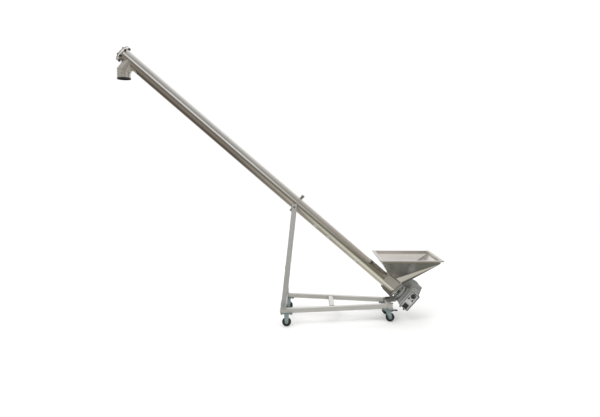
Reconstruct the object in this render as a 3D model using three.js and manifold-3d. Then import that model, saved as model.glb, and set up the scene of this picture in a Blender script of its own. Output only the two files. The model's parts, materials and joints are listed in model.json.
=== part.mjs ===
// Mobile inclined screw conveyor (grain auger) with hopper, worm gear drive and wheeled base.
// Millimetres, +Z up. The origin is on the floor under the middle of the machine: the drive and
// the hopper are at +X, the discharge end is high up at -X, and the control box faces -Y.

import * as THREE from 'three';
import { mergeVertices } from 'three/addons/utils/BufferGeometryUtils.js';
import Module from 'manifold-3d';

const wasm = await Module();
wasm.setup();

// ---------------------------------------------------------------- driving dimensions

const GAP = 0.3;                 // kept between pieces that touch
const SIDES = { near: -1, far: 1 };
const TILT = THREE.MathUtils.degToRad(40.8);
const FOOT = { x: 1078.65, z: 225 };   // where t = 0 lies on the tube's axis, by the drive

// Along the conveyor: t runs down the tube towards the drive, n is square to it, upwards.
const TUBE_R = 57;
const TUBE_WALL = 2.5;
const ROUND = 40;                // sides of the tube and of all that fits it
const TUBE_TOP = -3185;
const TUBE_END = -70;
const BRANCH_T = -3093;
const MITRE_N = -106;
const SPOUT_DROP = 71;
const FLANGE_R = 75;
const FLANGE_T = 8.5;
const SMALL_FLANGE_R = 66;
const LANTERN_END = -12;

// Screw
const SHAFT_R = 21;
const FLIGHT_R = 50;
const PITCH = 100;
const FLIGHT_TURNS = 30;
const FLIGHT_THICK = 3;
const SCREW_END = -76;
const JOURNAL_R = 15;

// Gearbox, motor and controls
const GEARBOX = { from: 10, to: 118, half: 72, corner: 22 };
const WORM_T = 64;
const WORM_N = 80;
const WHEEL_CAVITY_R = 62;
const WORM_BORE_R = 24;
const MOTOR_FLANGE_R = 88;
const MOTOR_R = 69;
const MOTOR_CORE_R = 44;
const MOTOR_Y = { flange: 72.3, barrel: 84, bell: 212, cover: 282 };
const PANEL = { t0: 20, t1: 112, n0: -75, n1: 93, back: -72.3, front: -137, face: -140 };

// Hopper: level rim, throat square to the tube
const HOPPER = { x0: 884, x1: 1364, y: 240, top: 560, band: 27, wall: 2 };
const LIP = { width: 25, thick: 3, turn: 10 };
const EDGE_FLANGE = { from: 0.06, to: 0.97, depth: 24, end: 3, thick: 2 };
const THROAT = { t0: -200, fold: -134, t1: -76, y: 48, n: 62 };
const INLET = { t0: -204, t1: -73, y: 61, n0: -8, n1: 61.7 };
const SLOT = { t0: -188, t1: -86, y: 42 };

// Base
const BAR = 40;
const BAR_WALL = 2;
const RAIL_Z = 135;
const RAIL_START = { x: 28, y: 262 };
const RAIL_END = { x: 948, y: 108 };
const MID_BAR_X = 467;
const WHEEL_R = 38;
const TYRE_W = 26;
const FIXED_X = 78;
const SWIVEL_X = 950;
const TRAIL = 22;
const PIVOT = { t: -6, n: -80 };
const PIN_R = 6;
const LUG_Y = [29, 35];
const EAR_Y = [37, 43];
const TILT_PIN_Y = 46;

// Leg frame and tube clamp
const LEG_FOOT = { x: 53, y: 262, z: 190 };
const CLAMP_T = -1215;
const CLAMP_PIN_N = -28;
const LEG_TOP_Y = 92;
const LEG_REACH = 20;            // how far a leg runs past its pins
const TIE_HEIGHT = 0.36;         // share of the leg's height
const HOOP_R = 59;
const HOOP_WALL = 5;
const HOOP_WIDTH = 24;

// ---------------------------------------------------------------- materials

const finish = (color, roughness, metalness) => () =>
  new THREE.MeshStandardMaterial({ color, roughness, metalness });

const polished = finish(0xd4d2cc, 0.12, 1);
const brushed = finish(0xb4b2aa, 0.38, 1);
const zinc = finish(0x9bb4b6, 0.35, 1);
const steel = finish(0x8f9294, 0.3, 1);
const castAlloy = finish(0x8b8e88, 0.5, 0.8);
const darkPaint = finish(0x3a3c3c, 0.5, 0.2);
const bronze = finish(0xa98245, 0.35, 1);
const rubber = finish(0x1e2024, 0.8, 0);
const greyPlastic = finish(0x7d8486, 0.5, 0);
const blackPlastic = finish(0x1c1d1e, 0.4, 0);
const faceMetal = finish(0xc0c2c2, 0.45, 0.6);

// ---------------------------------------------------------------- geometry helpers

// Positions only, with shared vertices merged, flat slivers dropped and the faces turned outwards.
function weld(geometry) {
  const bare = new THREE.BufferGeometry();
  bare.setAttribute('position', geometry.attributes.position.clone());
  if (geometry.index) bare.setIndex(geometry.index.clone());
  const merged = mergeVertices(bare, 1e-4);
  const { array } = merged.index;
  const corner = (i) => new THREE.Vector3().fromBufferAttribute(merged.attributes.position, i);
  const kept = [];
  let volume = 0;
  for (let i = 0; i < array.length; i += 3) {
    const [a, b, c] = array.slice(i, i + 3);
    if (a === b || b === c || a === c) continue;
    kept.push(a, b, c);
    volume += corner(a).dot(corner(b).cross(corner(c)));
  }
  merged.setIndex(volume > 0 ? kept : kept.reverse());
  return merged;
}

function solid(geometry) {
  const merged = weld(geometry);
  return new wasm.Manifold(new wasm.Mesh({
    numProp: 3,
    vertProperties: new Float32Array(merged.attributes.position.array),
    triVerts: new Uint32Array(merged.index.array),
  }));
}

function fromSolid(body) {
  const mesh = body.getMesh();
  const geometry = new THREE.BufferGeometry();
  geometry.setAttribute('position', new THREE.BufferAttribute(mesh.vertProperties, 3));
  geometry.setIndex(new THREE.BufferAttribute(mesh.triVerts, 1));
  return geometry;
}

const join = (...parts) => fromSolid(parts.map(solid).reduce((a, b) => a.add(b)));
const cut = (from, ...tools) => fromSolid(tools.map(solid).reduce((a, b) => a.subtract(b), solid(from)));

// A box from its lowest and highest corners.
function block([x0, y0, z0], [x1, y1, z1]) {
  return new THREE.BoxGeometry(x1 - x0, y1 - y0, z1 - z0)
    .translate((x0 + x1) / 2, (y0 + y1) / 2, (z0 + z1) / 2);
}

// Cylinders along each axis, from a to b, centred on the two other coordinates.
const rodX = (a, b, r, y = 0, z = 0, sides = 32) =>
  new THREE.CylinderGeometry(r, r, b - a, sides).rotateZ(-Math.PI / 2).translate((a + b) / 2, y, z);
const rodY = (a, b, r, x = 0, z = 0, sides = 32) =>
  new THREE.CylinderGeometry(r, r, b - a, sides).translate(x, (a + b) / 2, z);
const rodZ = (a, b, r, x = 0, y = 0, sides = 32) =>
  new THREE.CylinderGeometry(r, r, b - a, sides).rotateX(Math.PI / 2).translate(x, y, (a + b) / 2);

// A closed profile of [axial, radius] pairs turned about the X or the Y axis.
function turned(profile, sides = 48) {
  const points = [...profile, profile[0]].map(([along, r]) => new THREE.Vector2(r, along));
  return weld(new THREE.LatheGeometry(points, sides));
}
const turnedX = (profile, sides) => turned(profile, sides).rotateZ(-Math.PI / 2);

// A flat outline in X and Z, as thick as y0 to y1.
function plateXZ(points, y0, y1) {
  const shape = new THREE.Shape(points.map(([x, z]) => new THREE.Vector2(x, z)));
  return weld(new THREE.ExtrudeGeometry(shape, { depth: y1 - y0, bevelEnabled: false }))
    .rotateX(Math.PI / 2).translate(0, y1, 0);
}

// The corners of an arc about a centre, angles in degrees.
function arc([cx, cy], r, from, to, steps = 8) {
  return Array.from({ length: steps + 1 }, (_, i) => {
    const a = THREE.MathUtils.degToRad(from + (to - from) * i / steps);
    return [cx + r * Math.cos(a), cy + r * Math.sin(a)];
  });
}

function roundedRect(width, height, r, steps = 2) {
  const corners = [[1, 1, 0], [-1, 1, 90], [-1, -1, 180], [1, -1, 270]];
  return corners.flatMap(([sx, sy, start]) =>
    arc([sx * (width / 2 - r), sy * (height / 2 - r)], r, start, start + 90, steps));
}

const path2 = (points, Kind = THREE.Shape) => new Kind(points.map(([x, y]) => new THREE.Vector2(x, y)));

// Hollow square tube along +Z from the origin, with round corners and open ends.
function squareTube(length, side = BAR) {
  const shape = path2(roundedRect(side, side, 5));
  shape.holes.push(path2(roundedRect(side - 2 * BAR_WALL, side - 2 * BAR_WALL, 3), THREE.Path));
  return weld(new THREE.ExtrudeGeometry(shape, { depth: length, bevelEnabled: false }));
}

// A square tube between two points, two of its faces turned as near to the given way as they go.
function barBetween(a, b, facing = [0, 1, 0]) {
  const from = new THREE.Vector3(...a);
  const to = new THREE.Vector3(...b);
  const along = to.clone().sub(from);
  const length = along.length();
  const z = along.normalize();
  const way = new THREE.Vector3(...facing);
  const side = way.addScaledVector(z, -way.dot(z)).normalize();
  const x = new THREE.Vector3().crossVectors(side, z);
  const place = new THREE.Matrix4().makeBasis(x, side, z).setPosition(from);
  return squareTube(length).applyMatrix4(place);
}

// A closed block whose rings all have the same number of corners, listed end to end.
function loft(rings) {
  const count = rings[0].length;
  const index = [];
  for (let r = 0; r < rings.length - 1; r += 1) {
    for (let i = 0; i < count; i += 1) {
      const j = (i + 1) % count;
      const [a, b, c, d] = [r * count + i, r * count + j, (r + 1) * count + j, (r + 1) * count + i];
      index.push(a, b, c, a, c, d);
    }
  }
  const last = (rings.length - 1) * count;
  for (let i = 1; i < count - 1; i += 1) {
    index.push(0, i + 1, i);
    index.push(last, last + i, last + i + 1);
  }
  const geometry = new THREE.BufferGeometry();
  geometry.setAttribute('position', new THREE.Float32BufferAttribute(rings.flat(2), 3));
  geometry.setIndex(index);
  return geometry;
}

// A shaft along +X with one helical flight, as a single skin: the shaft's land, then the flight's
// near face, its edge and its far face, for every step of every turn.
function screw({ start, shaftR, flightR, pitch, turns, thick, steps }) {
  const total = turns * steps;
  const end = start + (turns + 1) * pitch;
  const vertices = [];
  const vertex = (x, r, k) => {
    const a = 2 * Math.PI * k / steps;
    vertices.push(x, r * Math.cos(a), r * Math.sin(a));
    return vertices.length / 3 - 1;
  };
  const lead = (k) => start + pitch * (0.5 + k / steps);
  const near = [];
  const far = [];
  for (let k = 0; k <= total; k += 1) {
    const [x0, x1] = [lead(k) - thick / 2, lead(k) + thick / 2];
    near.push({ root: vertex(x0, shaftR, k), tip: vertex(x0, flightR, k) });
    far.push({ root: vertex(x1, shaftR, k), tip: vertex(x1, flightR, k) });
  }
  const first = Array.from({ length: steps }, (_, k) => vertex(start, shaftR, k));
  const last = Array.from({ length: steps }, (_, k) => vertex(end, shaftR, k));
  const ends = [vertex(start, 0, 0), vertex(end, 0, 0)];
  const index = [];
  const fan = (corners) => {
    for (let i = 1; i < corners.length - 1; i += 1) index.push(corners[0], corners[i], corners[i + 1]);
  };
  for (let k = 0; k < total; k += 1) {
    fan([near[k].root, near[k].tip, near[k + 1].tip, near[k + 1].root]);
    fan([near[k].tip, far[k].tip, far[k + 1].tip, near[k + 1].tip]);
    fan([far[k].tip, far[k].root, far[k + 1].root, far[k + 1].tip]);
    if (k < total - steps) {
      fan([far[k].root, near[k + steps].root, near[k + steps + 1].root, far[k + 1].root]);
    }
  }
  for (let k = 0; k < steps; k += 1) {
    const next = (k + 1) % steps;
    const closing = k === steps - 1;
    const seamStart = closing ? [far[0].root, near[0].root] : [];
    fan([near[k].root, near[k + 1].root, ...seamStart, first[next], first[k]]);
    const tail = total - steps + k;
    const seamEnd = k === 0 ? [far[total].root, near[total].root] : [];
    fan([far[tail + 1].root, far[tail].root, ...[...seamEnd].reverse(), last[k], last[next]]);
    index.push(ends[0], first[k], first[next]);
    index.push(ends[1], last[next], last[k]);
  }
  fan([near[0].tip, near[0].root, far[0].root, far[0].tip]);
  fan([near[total].root, near[total].tip, far[total].tip, far[total].root]);
  const geometry = new THREE.BufferGeometry();
  geometry.setAttribute('position', new THREE.Float32BufferAttribute(vertices, 3));
  geometry.setIndex(index);
  return geometry;
}

// ---------------------------------------------------------------- assembly helpers

const group = new THREE.Group();
const conveyor = new THREE.Group();   // local x = t, y = y, z = n
conveyor.position.set(FOOT.x, 0, FOOT.z);
conveyor.rotation.y = TILT;
group.add(conveyor);

function add(name, geometry, material, parent = group) {
  const mesh = new THREE.Mesh(geometry, material());
  mesh.name = name;
  parent.add(mesh);
  return mesh;
}

// The floor-frame place of a point given by t, y and n.
function onConveyor(t, y, n) {
  const c = Math.cos(TILT);
  const s = Math.sin(TILT);
  return [FOOT.x + t * c + n * s, y, FOOT.z - t * s + n * c];
}

// ---------------------------------------------------------------- conveyor tube and its ends

function conveyorTube() {
  const inner = TUBE_R - TUBE_WALL;
  const shell = turnedX([[TUBE_TOP, inner], [TUBE_END, inner], [TUBE_END, TUBE_R], [TUBE_TOP, TUBE_R]], ROUND);
  const slot = block([SLOT.t0, -SLOT.y, 0], [SLOT.t1, SLOT.y, TUBE_R + 5]);
  const outlet = rodZ(-TUBE_R - 5, 0, 46, BRANCH_T, 0, 32);
  return cut(shell, slot, outlet);
}

function ring(t0, t1, rInner, rOuter) {
  return turnedX([[t0, rInner], [t1, rInner], [t1, rOuter], [t0, rOuter]], ROUND);
}

// The cover closes the top end and carries the tail bearing's cup.
function headCover() {
  const from = TUBE_TOP - GAP - FLANGE_T;
  return ring(from, TUBE_TOP - GAP, JOURNAL_R + 2, FLANGE_R);
}

function headBearing() {
  const seat = TUBE_TOP - 2 * GAP - FLANGE_T;
  return turnedX([
    [seat, 38], [seat - 7, 38], [seat - 9, 30], [seat - 21, 28], [seat - 24, 22],
    [seat - 24, 0], [seat - 19, 0], [seat - 19, 18], [seat, 18],
  ], 24);
}

// Same diameter as the tube: one leg square to it, then a mitre, then straight down to the mouth.
function spoutBlock(r, extra) {
  const mitre = new THREE.Vector3(...onConveyor(BRANCH_T, 0, MITRE_N));
  const up = new THREE.Vector3(...onConveyor(BRANCH_T, 0, 0)).sub(mitre).normalize();
  const flat = new THREE.Vector3(up.z, 0, -up.x);
  const crease = up.clone().add(new THREE.Vector3(0, 0, 1)).normalize();
  const sides = 28;
  const angles = Array.from({ length: sides }, (_, i) => 2 * Math.PI * i / sides);
  const lower = angles.map((a) => [mitre.x + r * Math.cos(a), r * Math.sin(a), mitre.z - SPOUT_DROP - extra]);
  const upper = angles.map((a) => {
    const p = mitre.clone().addScaledVector(flat, r * Math.cos(a)).addScaledVector(up, -MITRE_N - 6 + extra);
    return [p.x, r * Math.sin(a), p.z];
  });
  const bend = lower.map(([x, y]) => {
    const rise = -(x - mitre.x) * crease.x / crease.z;
    return [x, y, mitre.z + rise];
  });
  return loft([lower, bend, upper]);
}

function dischargeSpout() {
  const tube = rodX(TUBE_TOP, BRANCH_T + 200, TUBE_R + GAP, 0, 0, ROUND);
  tube.rotateY(TILT).translate(FOOT.x, 0, FOOT.z);
  return cut(spoutBlock(TUBE_R, 0), spoutBlock(TUBE_R - TUBE_WALL, 4), tube);
}

// ---------------------------------------------------------------- inlet and hopper

function inletHousing() {
  const body = block([INLET.t0, -INLET.y, INLET.n0], [INLET.t1, INLET.y, INLET.n1]);
  const tube = rodX(INLET.t0 - 1, INLET.t1 + 1, TUBE_R + GAP, 0, 0, ROUND);
  const slot = block([SLOT.t0, -SLOT.y, 0], [SLOT.t1, SLOT.y, INLET.n1 + 1]);
  return cut(body, tube, slot);
}

// The throat has an extra corner on each long side, where a fold runs up to the rim's far corner.
function hopperBlock(inset, above, below) {
  const [x0, x1, y] = [HOPPER.x0 + inset, HOPPER.x1 - inset, HOPPER.y - inset];
  const rim = (z) => [[x0, -y, z], [x0, -y, z], [x1, -y, z], [x1, y, z], [x0, y, z], [x0, y, z]];
  const [t0, t1, ty, n] = [THROAT.t0 + inset, THROAT.t1 - inset, THROAT.y - inset, THROAT.n];
  const throat = (level) => [
    [t0, -ty], [THROAT.fold, -ty], [t1, -ty], [t1, ty], [THROAT.fold, ty], [t0, ty],
  ].map(([t, side]) => onConveyor(t, side, level));
  const rings = [throat(n), rim(HOPPER.top - HOPPER.band), rim(HOPPER.top + above)];
  if (below) rings.unshift(throat(n - below));
  return loft(rings);
}

// Flange hanging from the edge between a long side and the sloping end, deeper towards the throat.
function edgeFlange(side) {
  const { from, to, depth, end, thick } = EDGE_FLANGE;
  const low = new THREE.Vector3(...onConveyor(THROAT.t1, side * THROAT.y, THROAT.n));
  const high = new THREE.Vector3(HOPPER.x1, side * HOPPER.y, HOPPER.top - HOPPER.band);
  const inward = new THREE.Vector3(low.y - high.y, high.x - low.x, 0).normalize();
  inward.multiplyScalar(inward.y * side < 0 ? thick : -thick);
  const intoWall = 1.2;
  const corners = [[from, intoWall], [from, -depth], [to, -end], [to, intoWall]];
  const face = corners.map(([share, rise]) => low.clone().lerp(high, share).add(new THREE.Vector3(0, 0, rise)));
  return loft([face.map((p) => p.toArray()), face.map((p) => p.clone().add(inward).toArray())]);
}

function hopperShell() {
  const sheet = cut(hopperBlock(0, 0, 0), hopperBlock(HOPPER.wall, 5, 5));
  return join(sheet, edgeFlange(SIDES.near), edgeFlange(SIDES.far));
}

// Folded lip round the mouth, its outer edge turned down.
function hopperRim() {
  const frame = (inner, outer, z0, z1) => {
    const [cx, w] = [(HOPPER.x0 + HOPPER.x1) / 2, (HOPPER.x1 - HOPPER.x0) / 2];
    const box = (grow, lo, hi) =>
      block([cx - w - grow, -HOPPER.y - grow, lo], [cx + w + grow, HOPPER.y + grow, hi]);
    return cut(box(outer, z0, z1), box(inner, z0 - 1, z1 + 1));
  };
  const flat = frame(GAP, LIP.width, HOPPER.top - LIP.thick, HOPPER.top);
  const turn = frame(LIP.width - 2, LIP.width, HOPPER.top - LIP.turn, HOPPER.top);
  return join(flat, turn);
}

// ---------------------------------------------------------------- drive end

// Narrow cradle under the tube, with two lugs that reach back under the flanges to the tilt pin.
function tiltSaddle() {
  const eye = arc([PIVOT.t, PIVOT.n], 14, -90, 90, 8);
  const lug = [[-168, -44], [-168, -66], [-152, -73], [-75, -80], [-40, -86], ...eye,
    [-40, -68], [-46, -71], [-76, -71], [-77, -44]];
  const [y0, y1] = LUG_Y;
  const plates = [[-y1, -y0], [y0, y1]].map(([a, b]) => plateXZ(lug, a, b));
  const floor = block([-160, -y0 - 0.5, -68], [-80, y0 + 0.5, -62]);
  const tube = rodX(-400, 0, TUBE_R + GAP, 0, 0, ROUND);
  const pin = rodY(-TILT_PIN_Y, TILT_PIN_Y, PIN_R + GAP, PIVOT.t, PIVOT.n, 12);
  return cut(join(...plates, floor), tube, pin);
}

// Open bearing carrier between the tube's end flange and the gearbox.
function lantern() {
  const start = TUBE_END + FLANGE_T + GAP + 1.5;
  const body = turnedX([
    [start, 34], [start, FLANGE_R], [start + FLANGE_T, FLANGE_R], [start + FLANGE_T, 44],
    [LANTERN_END - 7, 44], [LANTERN_END - 7, SMALL_FLANGE_R], [LANTERN_END, SMALL_FLANGE_R],
    [LANTERN_END, 34],
  ], ROUND);
  const windowFrom = start + FLANGE_T + 4;
  const windowTo = LANTERN_END - 11;
  const sideWindow = block([windowFrom, -50, -14], [windowTo, 50, 14]);
  return cut(body, sideWindow);
}

function gearboxHousing() {
  const { from, to, half, corner } = GEARBOX;
  const outline = path2(roundedRect(2 * half, 2 * half, corner, 4));
  const body = weld(new THREE.ExtrudeGeometry(outline, { depth: to - from, bevelEnabled: false }))
    .rotateY(Math.PI / 2).translate(from, 0, 0);
  const barrel = rodY(-half, half, 36, WORM_T, WORM_N, 28);
  const neckFrom = LANTERN_END + GAP;
  const neck = rodX(neckFrom + 5, from + 5, 52, 0, 0, 28);
  const flange = rodX(neckFrom, neckFrom + 8.5, SMALL_FLANGE_R, 0, 0, ROUND);
  const cavity = rodX(from + 12, to + 1, WHEEL_CAVITY_R, 0, 0, 32);
  const shaftBore = rodX(neckFrom - 1, from + 13, JOURNAL_R + 3, 0, 0, 20);
  const wormBore = rodY(-half + 8, half + 1, WORM_BORE_R, WORM_T, WORM_N, 20);
  return cut(join(body, barrel, neck, flange), cavity, shaftBore, wormBore);
}

function gearboxCover() {
  const seat = GEARBOX.to + GAP;
  return turnedX([
    [seat, 0], [seat, 68], [seat + 6, 68], [seat + 8, 62], [seat + 8, 34], [seat + 14, 30], [seat + 14, 0],
  ], 32);
}

// Bronze wheel with short teeth, clear of the worm by a running gap.
function wormWheel() {
  const teeth = 20;
  const [root, tip, half] = [51.5, 56.5, 13];
  const outline = Array.from({ length: teeth }, (_, i) => {
    const a = 360 * i / teeth;
    return [[root, a - 5.2], [root, a + 5.2], [tip, a + 6.6], [tip, a + 11.4]]
      .flatMap(([r, deg]) => arc([0, 0], r, deg, deg, 1).slice(0, 1));
  }).flat();
  const rim = weld(new THREE.ExtrudeGeometry(path2(outline), { depth: 2 * half, bevelEnabled: false }))
    .rotateY(Math.PI / 2).translate(WORM_T - half, 0, 0);
  const hub = rodX(GEARBOX.from + 14, GEARBOX.to - 4, 28, 0, 0, 20);
  const bore = rodX(0, 200, JOURNAL_R + GAP, 0, 0, 20);
  return cut(join(rim, hub), bore);
}

const driveShaft = () => rodX(SCREW_END + GAP, GEARBOX.to - 3, JOURNAL_R, 0, 0, 20);

function augerScrew() {
  const start = SCREW_END - (FLIGHT_TURNS + 1) * PITCH;
  const body = screw({
    start, shaftR: SHAFT_R, flightR: FLIGHT_R, pitch: PITCH,
    turns: FLIGHT_TURNS, thick: FLIGHT_THICK, steps: 10,
  });
  const journal = rodX(TUBE_TOP - FLANGE_T - 14, start + 5, JOURNAL_R, 0, 0, 20);
  return join(body, journal);
}

// Motor along +Y from the gearbox: flange, finned barrel and rear bell in one casting.
function motorBody() {
  const fins = 16;
  const outline = Array.from({ length: fins }, (_, i) => {
    const a = 360 * i / fins;
    return [[MOTOR_R - 6, a], [MOTOR_R - 6, a + 14], [MOTOR_R, a + 15.5], [MOTOR_R, a + 21]]
      .flatMap(([r, deg]) => arc([0, 0], r, deg, deg, 1).slice(0, 1));
  }).flat();
  const { flange, barrel, bell } = MOTOR_Y;
  const finned = weld(new THREE.ExtrudeGeometry(path2(outline), { depth: bell - barrel + 4, bevelEnabled: false }))
    .rotateX(-Math.PI / 2).translate(WORM_T, barrel - 2, WORM_N);
  const front = rodY(flange, barrel, MOTOR_FLANGE_R, WORM_T, WORM_N, 36);
  const rear = rodY(bell, bell + 10, 58, WORM_T, WORM_N, 32);
  const core = rodY(barrel + 4, bell - 4, MOTOR_CORE_R, WORM_T, WORM_N, 24);
  const frontBore = rodY(flange - 1, barrel + 5, WORM_BORE_R, WORM_T, WORM_N);
  const rearBore = rodY(bell - 5, bell + 11, 11, WORM_T, WORM_N);
  return cut(join(finned, front, rear), core, frontBore, rearBore);
}

// The rotor, its shaft and the worm turn as one piece.
function motorRotor() {
  const worm = screw({
    start: 0, shaftR: 13, flightR: 20, pitch: 16, turns: 4, thick: 7, steps: 10,
  }).rotateZ(Math.PI / 2).translate(WORM_T, -45, WORM_N);
  const shaft = rodY(30, MOTOR_Y.bell + 42, 9, WORM_T, WORM_N, 20);
  const core = rodY(MOTOR_Y.barrel + 14, MOTOR_Y.bell - 14, MOTOR_CORE_R - 3, WORM_T, WORM_N, 20);
  return join(worm, shaft, core);
}

function coolingFan() {
  const [y0, y1] = [MOTOR_Y.bell + 16, MOTOR_Y.bell + 40];
  const hub = turned([[y0, 9 + GAP], [y0, 60], [y0 + 3, 60], [y0 + 3, 18], [y1, 18], [y1, 9 + GAP]], 20);
  const blades = Array.from({ length: 7 }, (_, i) =>
    block([15, y0 + 1, -1.5], [58, y1 - 2, 1.5]).rotateY(2 * Math.PI * i / 7));
  return join(hub, ...blades).translate(WORM_T, 0, WORM_N);
}

function fanCover() {
  const { bell, cover } = MOTOR_Y;
  const open = bell + 3;
  const shell = turned([
    [open, MOTOR_R + 1], [cover - 8, MOTOR_R + 1], [cover, MOTOR_R - 7], [cover, 0],
    [cover - 2.5, 0], [cover - 2.5, MOTOR_R - 9], [cover - 9, MOTOR_R - 1.5], [open, MOTOR_R - 1.5],
  ], 32);
  const slots = [];
  for (const r of [22, 42]) {
    const count = Math.round(r / 5);
    for (let i = 0; i < count; i += 1) {
      slots.push(rodY(cover - 5, cover + 5, 7, r, 0, 6).rotateY(2 * Math.PI * i / count));
    }
  }
  return cut(shell, ...slots).translate(WORM_T, 0, WORM_N);
}

// Box on the motor's lower side for the supply, leaning with the barrel.
function terminalBox() {
  const box = block([MOTOR_R + 1.5, 108, -44], [MOTOR_R + 37, 200, 44]);
  const seat = rodY(100, 210, MOTOR_R + 2, 0, 0, 60);
  const lean = THREE.MathUtils.degToRad(-20);
  return cut(box, seat).rotateY(lean).translate(WORM_T, 0, WORM_N);
}

// ---------------------------------------------------------------- control box

function controlBox() {
  const { t0, t1, n0, n1, back, front } = PANEL;
  const wall = 3;
  const shell = block([t0, front, n0], [t1, back, n1]);
  const room = block([t0 + wall, front - 1, n0 + wall], [t1 - wall, back - wall, n1 - wall]);
  return cut(shell, room);
}

const KNOB = { t: 63, n: 58, r: 21.5 };
const DISPLAY = { t: 66, n: -47, half: 22 };
const BUTTONS = { start_button: [45, 22], stop_button: [83, 22] };
const BUTTON_R = 6;

function controlFace() {
  const { t0, t1, n0, n1, front, face } = PANEL;
  const plate = block([t0, face, n0], [t1, front - GAP, n1]);
  const holes = Object.values(BUTTONS).map(([t, n]) => rodY(face - 5, front + 5, BUTTON_R + GAP, t, n, 16));
  const spindle = rodY(face - 5, front + 5, 5 + GAP, KNOB.t, KNOB.n, 20);
  return cut(plate, spindle, ...holes);
}

function speedKnob() {
  const seat = PANEL.face - 1;
  const grip = turned([
    [seat, 0], [seat, KNOB.r], [seat - 16, KNOB.r - 2.5], [seat - 19, KNOB.r - 6], [seat - 19, 0],
  ], 24);
  const flutes = Array.from({ length: 8 }, (_, i) =>
    rodY(seat - 25, seat - 4, 3, KNOB.r + 0.8, 0, 8).rotateY(2 * Math.PI * i / 8));
  const spindle = rodY(seat - 2, PANEL.front + 12, 5, 0, 0, 20);
  return join(cut(grip, ...flutes), spindle).translate(KNOB.t, 0, KNOB.n);
}

function pushButton([t, n]) {
  return join(
    rodY(PANEL.face - 4.5, PANEL.front + 8, BUTTON_R, t, n, 16),
    rodY(PANEL.front + 3, PANEL.front + 5, BUTTON_R + 2, t, n, 16),
  );
}

function speedDisplay() {
  const { t, n, half } = DISPLAY;
  const seat = PANEL.face - GAP;
  const bezel = block([t - half, seat - 6, n - half], [t + half, seat, n + half]);
  const window = block([t - half + 4, seat - 7, n - half + 4], [t + half - 4, seat - 4, n + half - 4]);
  return cut(bezel, window);
}

// ---------------------------------------------------------------- base frame

function railPoint(x, side) {
  const share = (x - RAIL_START.x) / (RAIL_END.x - RAIL_START.x);
  return side * (RAIL_START.y + (RAIL_END.y - RAIL_START.y) * share);
}

function rail(side) {
  return barBetween([RAIL_START.x, railPoint(RAIL_START.x, side), RAIL_Z],
    [RAIL_END.x, railPoint(RAIL_END.x, side), RAIL_Z]);
}

// A crosswise tube that ends square, with room for the rails that it is welded between.
function crossTube(x, reach) {
  return barBetween([x, -reach, RAIL_Z], [x, reach, RAIL_Z], [1, 0, 0]);
}

const innerReach = (x) => railPoint(x + BAR / 2, 1) - BAR / 2 - 1.2;

const pivotPlace = onConveyor(PIVOT.t, 0, PIVOT.n);

// Clevis on the narrow cross tube that holds the tilt pin.
function pivotBracket() {
  const top = RAIL_Z + BAR / 2 + GAP;
  const x0 = RAIL_END.x + GAP;
  const [px, , pz] = pivotPlace;
  const ear = [[x0, top], [x0 + BAR, top], ...arc([px, pz], 14, -80, 110, 7), [x0, top + 22]];
  const [y0, y1] = EAR_Y;
  const plates = [[-y1, -y0], [y0, y1]].map(([a, b]) => plateXZ(ear, a, b));
  const floor = block([x0, -y1, top], [x0 + BAR, y1, top + 5]);
  return cut(join(...plates, floor), rodY(-TILT_PIN_Y, TILT_PIN_Y, PIN_R + GAP, px, pz, 12));
}

function headedPin(y0, y1, x, z) {
  return join(
    rodY(y0, y1, PIN_R, x, z, 12),
    rodY(y0 - 5, y0, 10, x, z, 6),
    rodY(y1, y1 + 5, 10, x, z, 6),
  );
}

// Upright channel that the foot of a leg swings in.
function legSocket(side) {
  const z0 = RAIL_Z + BAR / 2 + GAP;
  const [x, y, z] = [LEG_FOOT.x, side * LEG_FOOT.y, LEG_FOOT.z];
  const cheek = [[x - 23, z0], [x + 23, z0], [x + 23, z + 8], ...arc([x + 13, z + 16], 10, 0, 90, 3),
    ...arc([x - 13, z + 16], 10, 90, 180, 3)];
  const inner = 29;
  const plates = [plateXZ(cheek, y - inner - 5, y - inner), plateXZ(cheek, y + inner, y + inner + 5)];
  const floor = block([x - 23, y - inner - 1, z0], [x + 23, y + inner + 1, z0 + 5]);
  return cut(join(...plates, floor), rodY(y - 40, y + 40, PIN_R + GAP, x, z, 12));
}

// ---------------------------------------------------------------- casters

const PLATE_TOP = RAIL_Z - BAR / 2 - GAP;
const FORK_INNER = TYRE_W / 2 + 3;
const CHEEK = 3;

// One fork cheek: straight sides, round at the axle, leaning back by the trail.
function cheekOutline(x, trail, top, width) {
  const foot = arc([x + trail, WHEEL_R], 14, 200, 340, 6);
  return [...foot, [x + width / 2, top], [x - width / 2, top]];
}

function forkCheeks(x, y, trail, top, width) {
  const outline = cheekOutline(x, trail, top, width);
  const a = FORK_INNER;
  return [plateXZ(outline, y - a - CHEEK, y - a), plateXZ(outline, y + a, y + a + CHEEK)];
}

const axle = (x, y) => rodY(y - FORK_INNER - 7, y + FORK_INNER + 7, 5, x, WHEEL_R, 12);

function fixedFork(side) {
  const y = railPoint(FIXED_X, side);
  const plate = block([FIXED_X - 50, y - 38, PLATE_TOP - 4], [FIXED_X + 50, y + 38, PLATE_TOP]);
  const crownTop = PLATE_TOP - 3.5;
  const reach = FORK_INNER + 1;
  const crown = block([FIXED_X - 21, y - reach, crownTop - 6], [FIXED_X + 21, y + reach, crownTop]);
  return join(plate, crown, ...forkCheeks(FIXED_X, y, 0, PLATE_TOP - 1, 42), axle(FIXED_X, y));
}

const RACE_DROP = 12;

function swivelPlate(side) {
  const y = railPoint(SWIVEL_X - 20, side);
  const plate = block([SWIVEL_X - 48, y - 32, PLATE_TOP - 4], [SWIVEL_X + 48, y + 32, PLATE_TOP]);
  return join(plate, rodZ(PLATE_TOP - RACE_DROP, PLATE_TOP - 3, 25, SWIVEL_X, y, 24));
}

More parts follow.
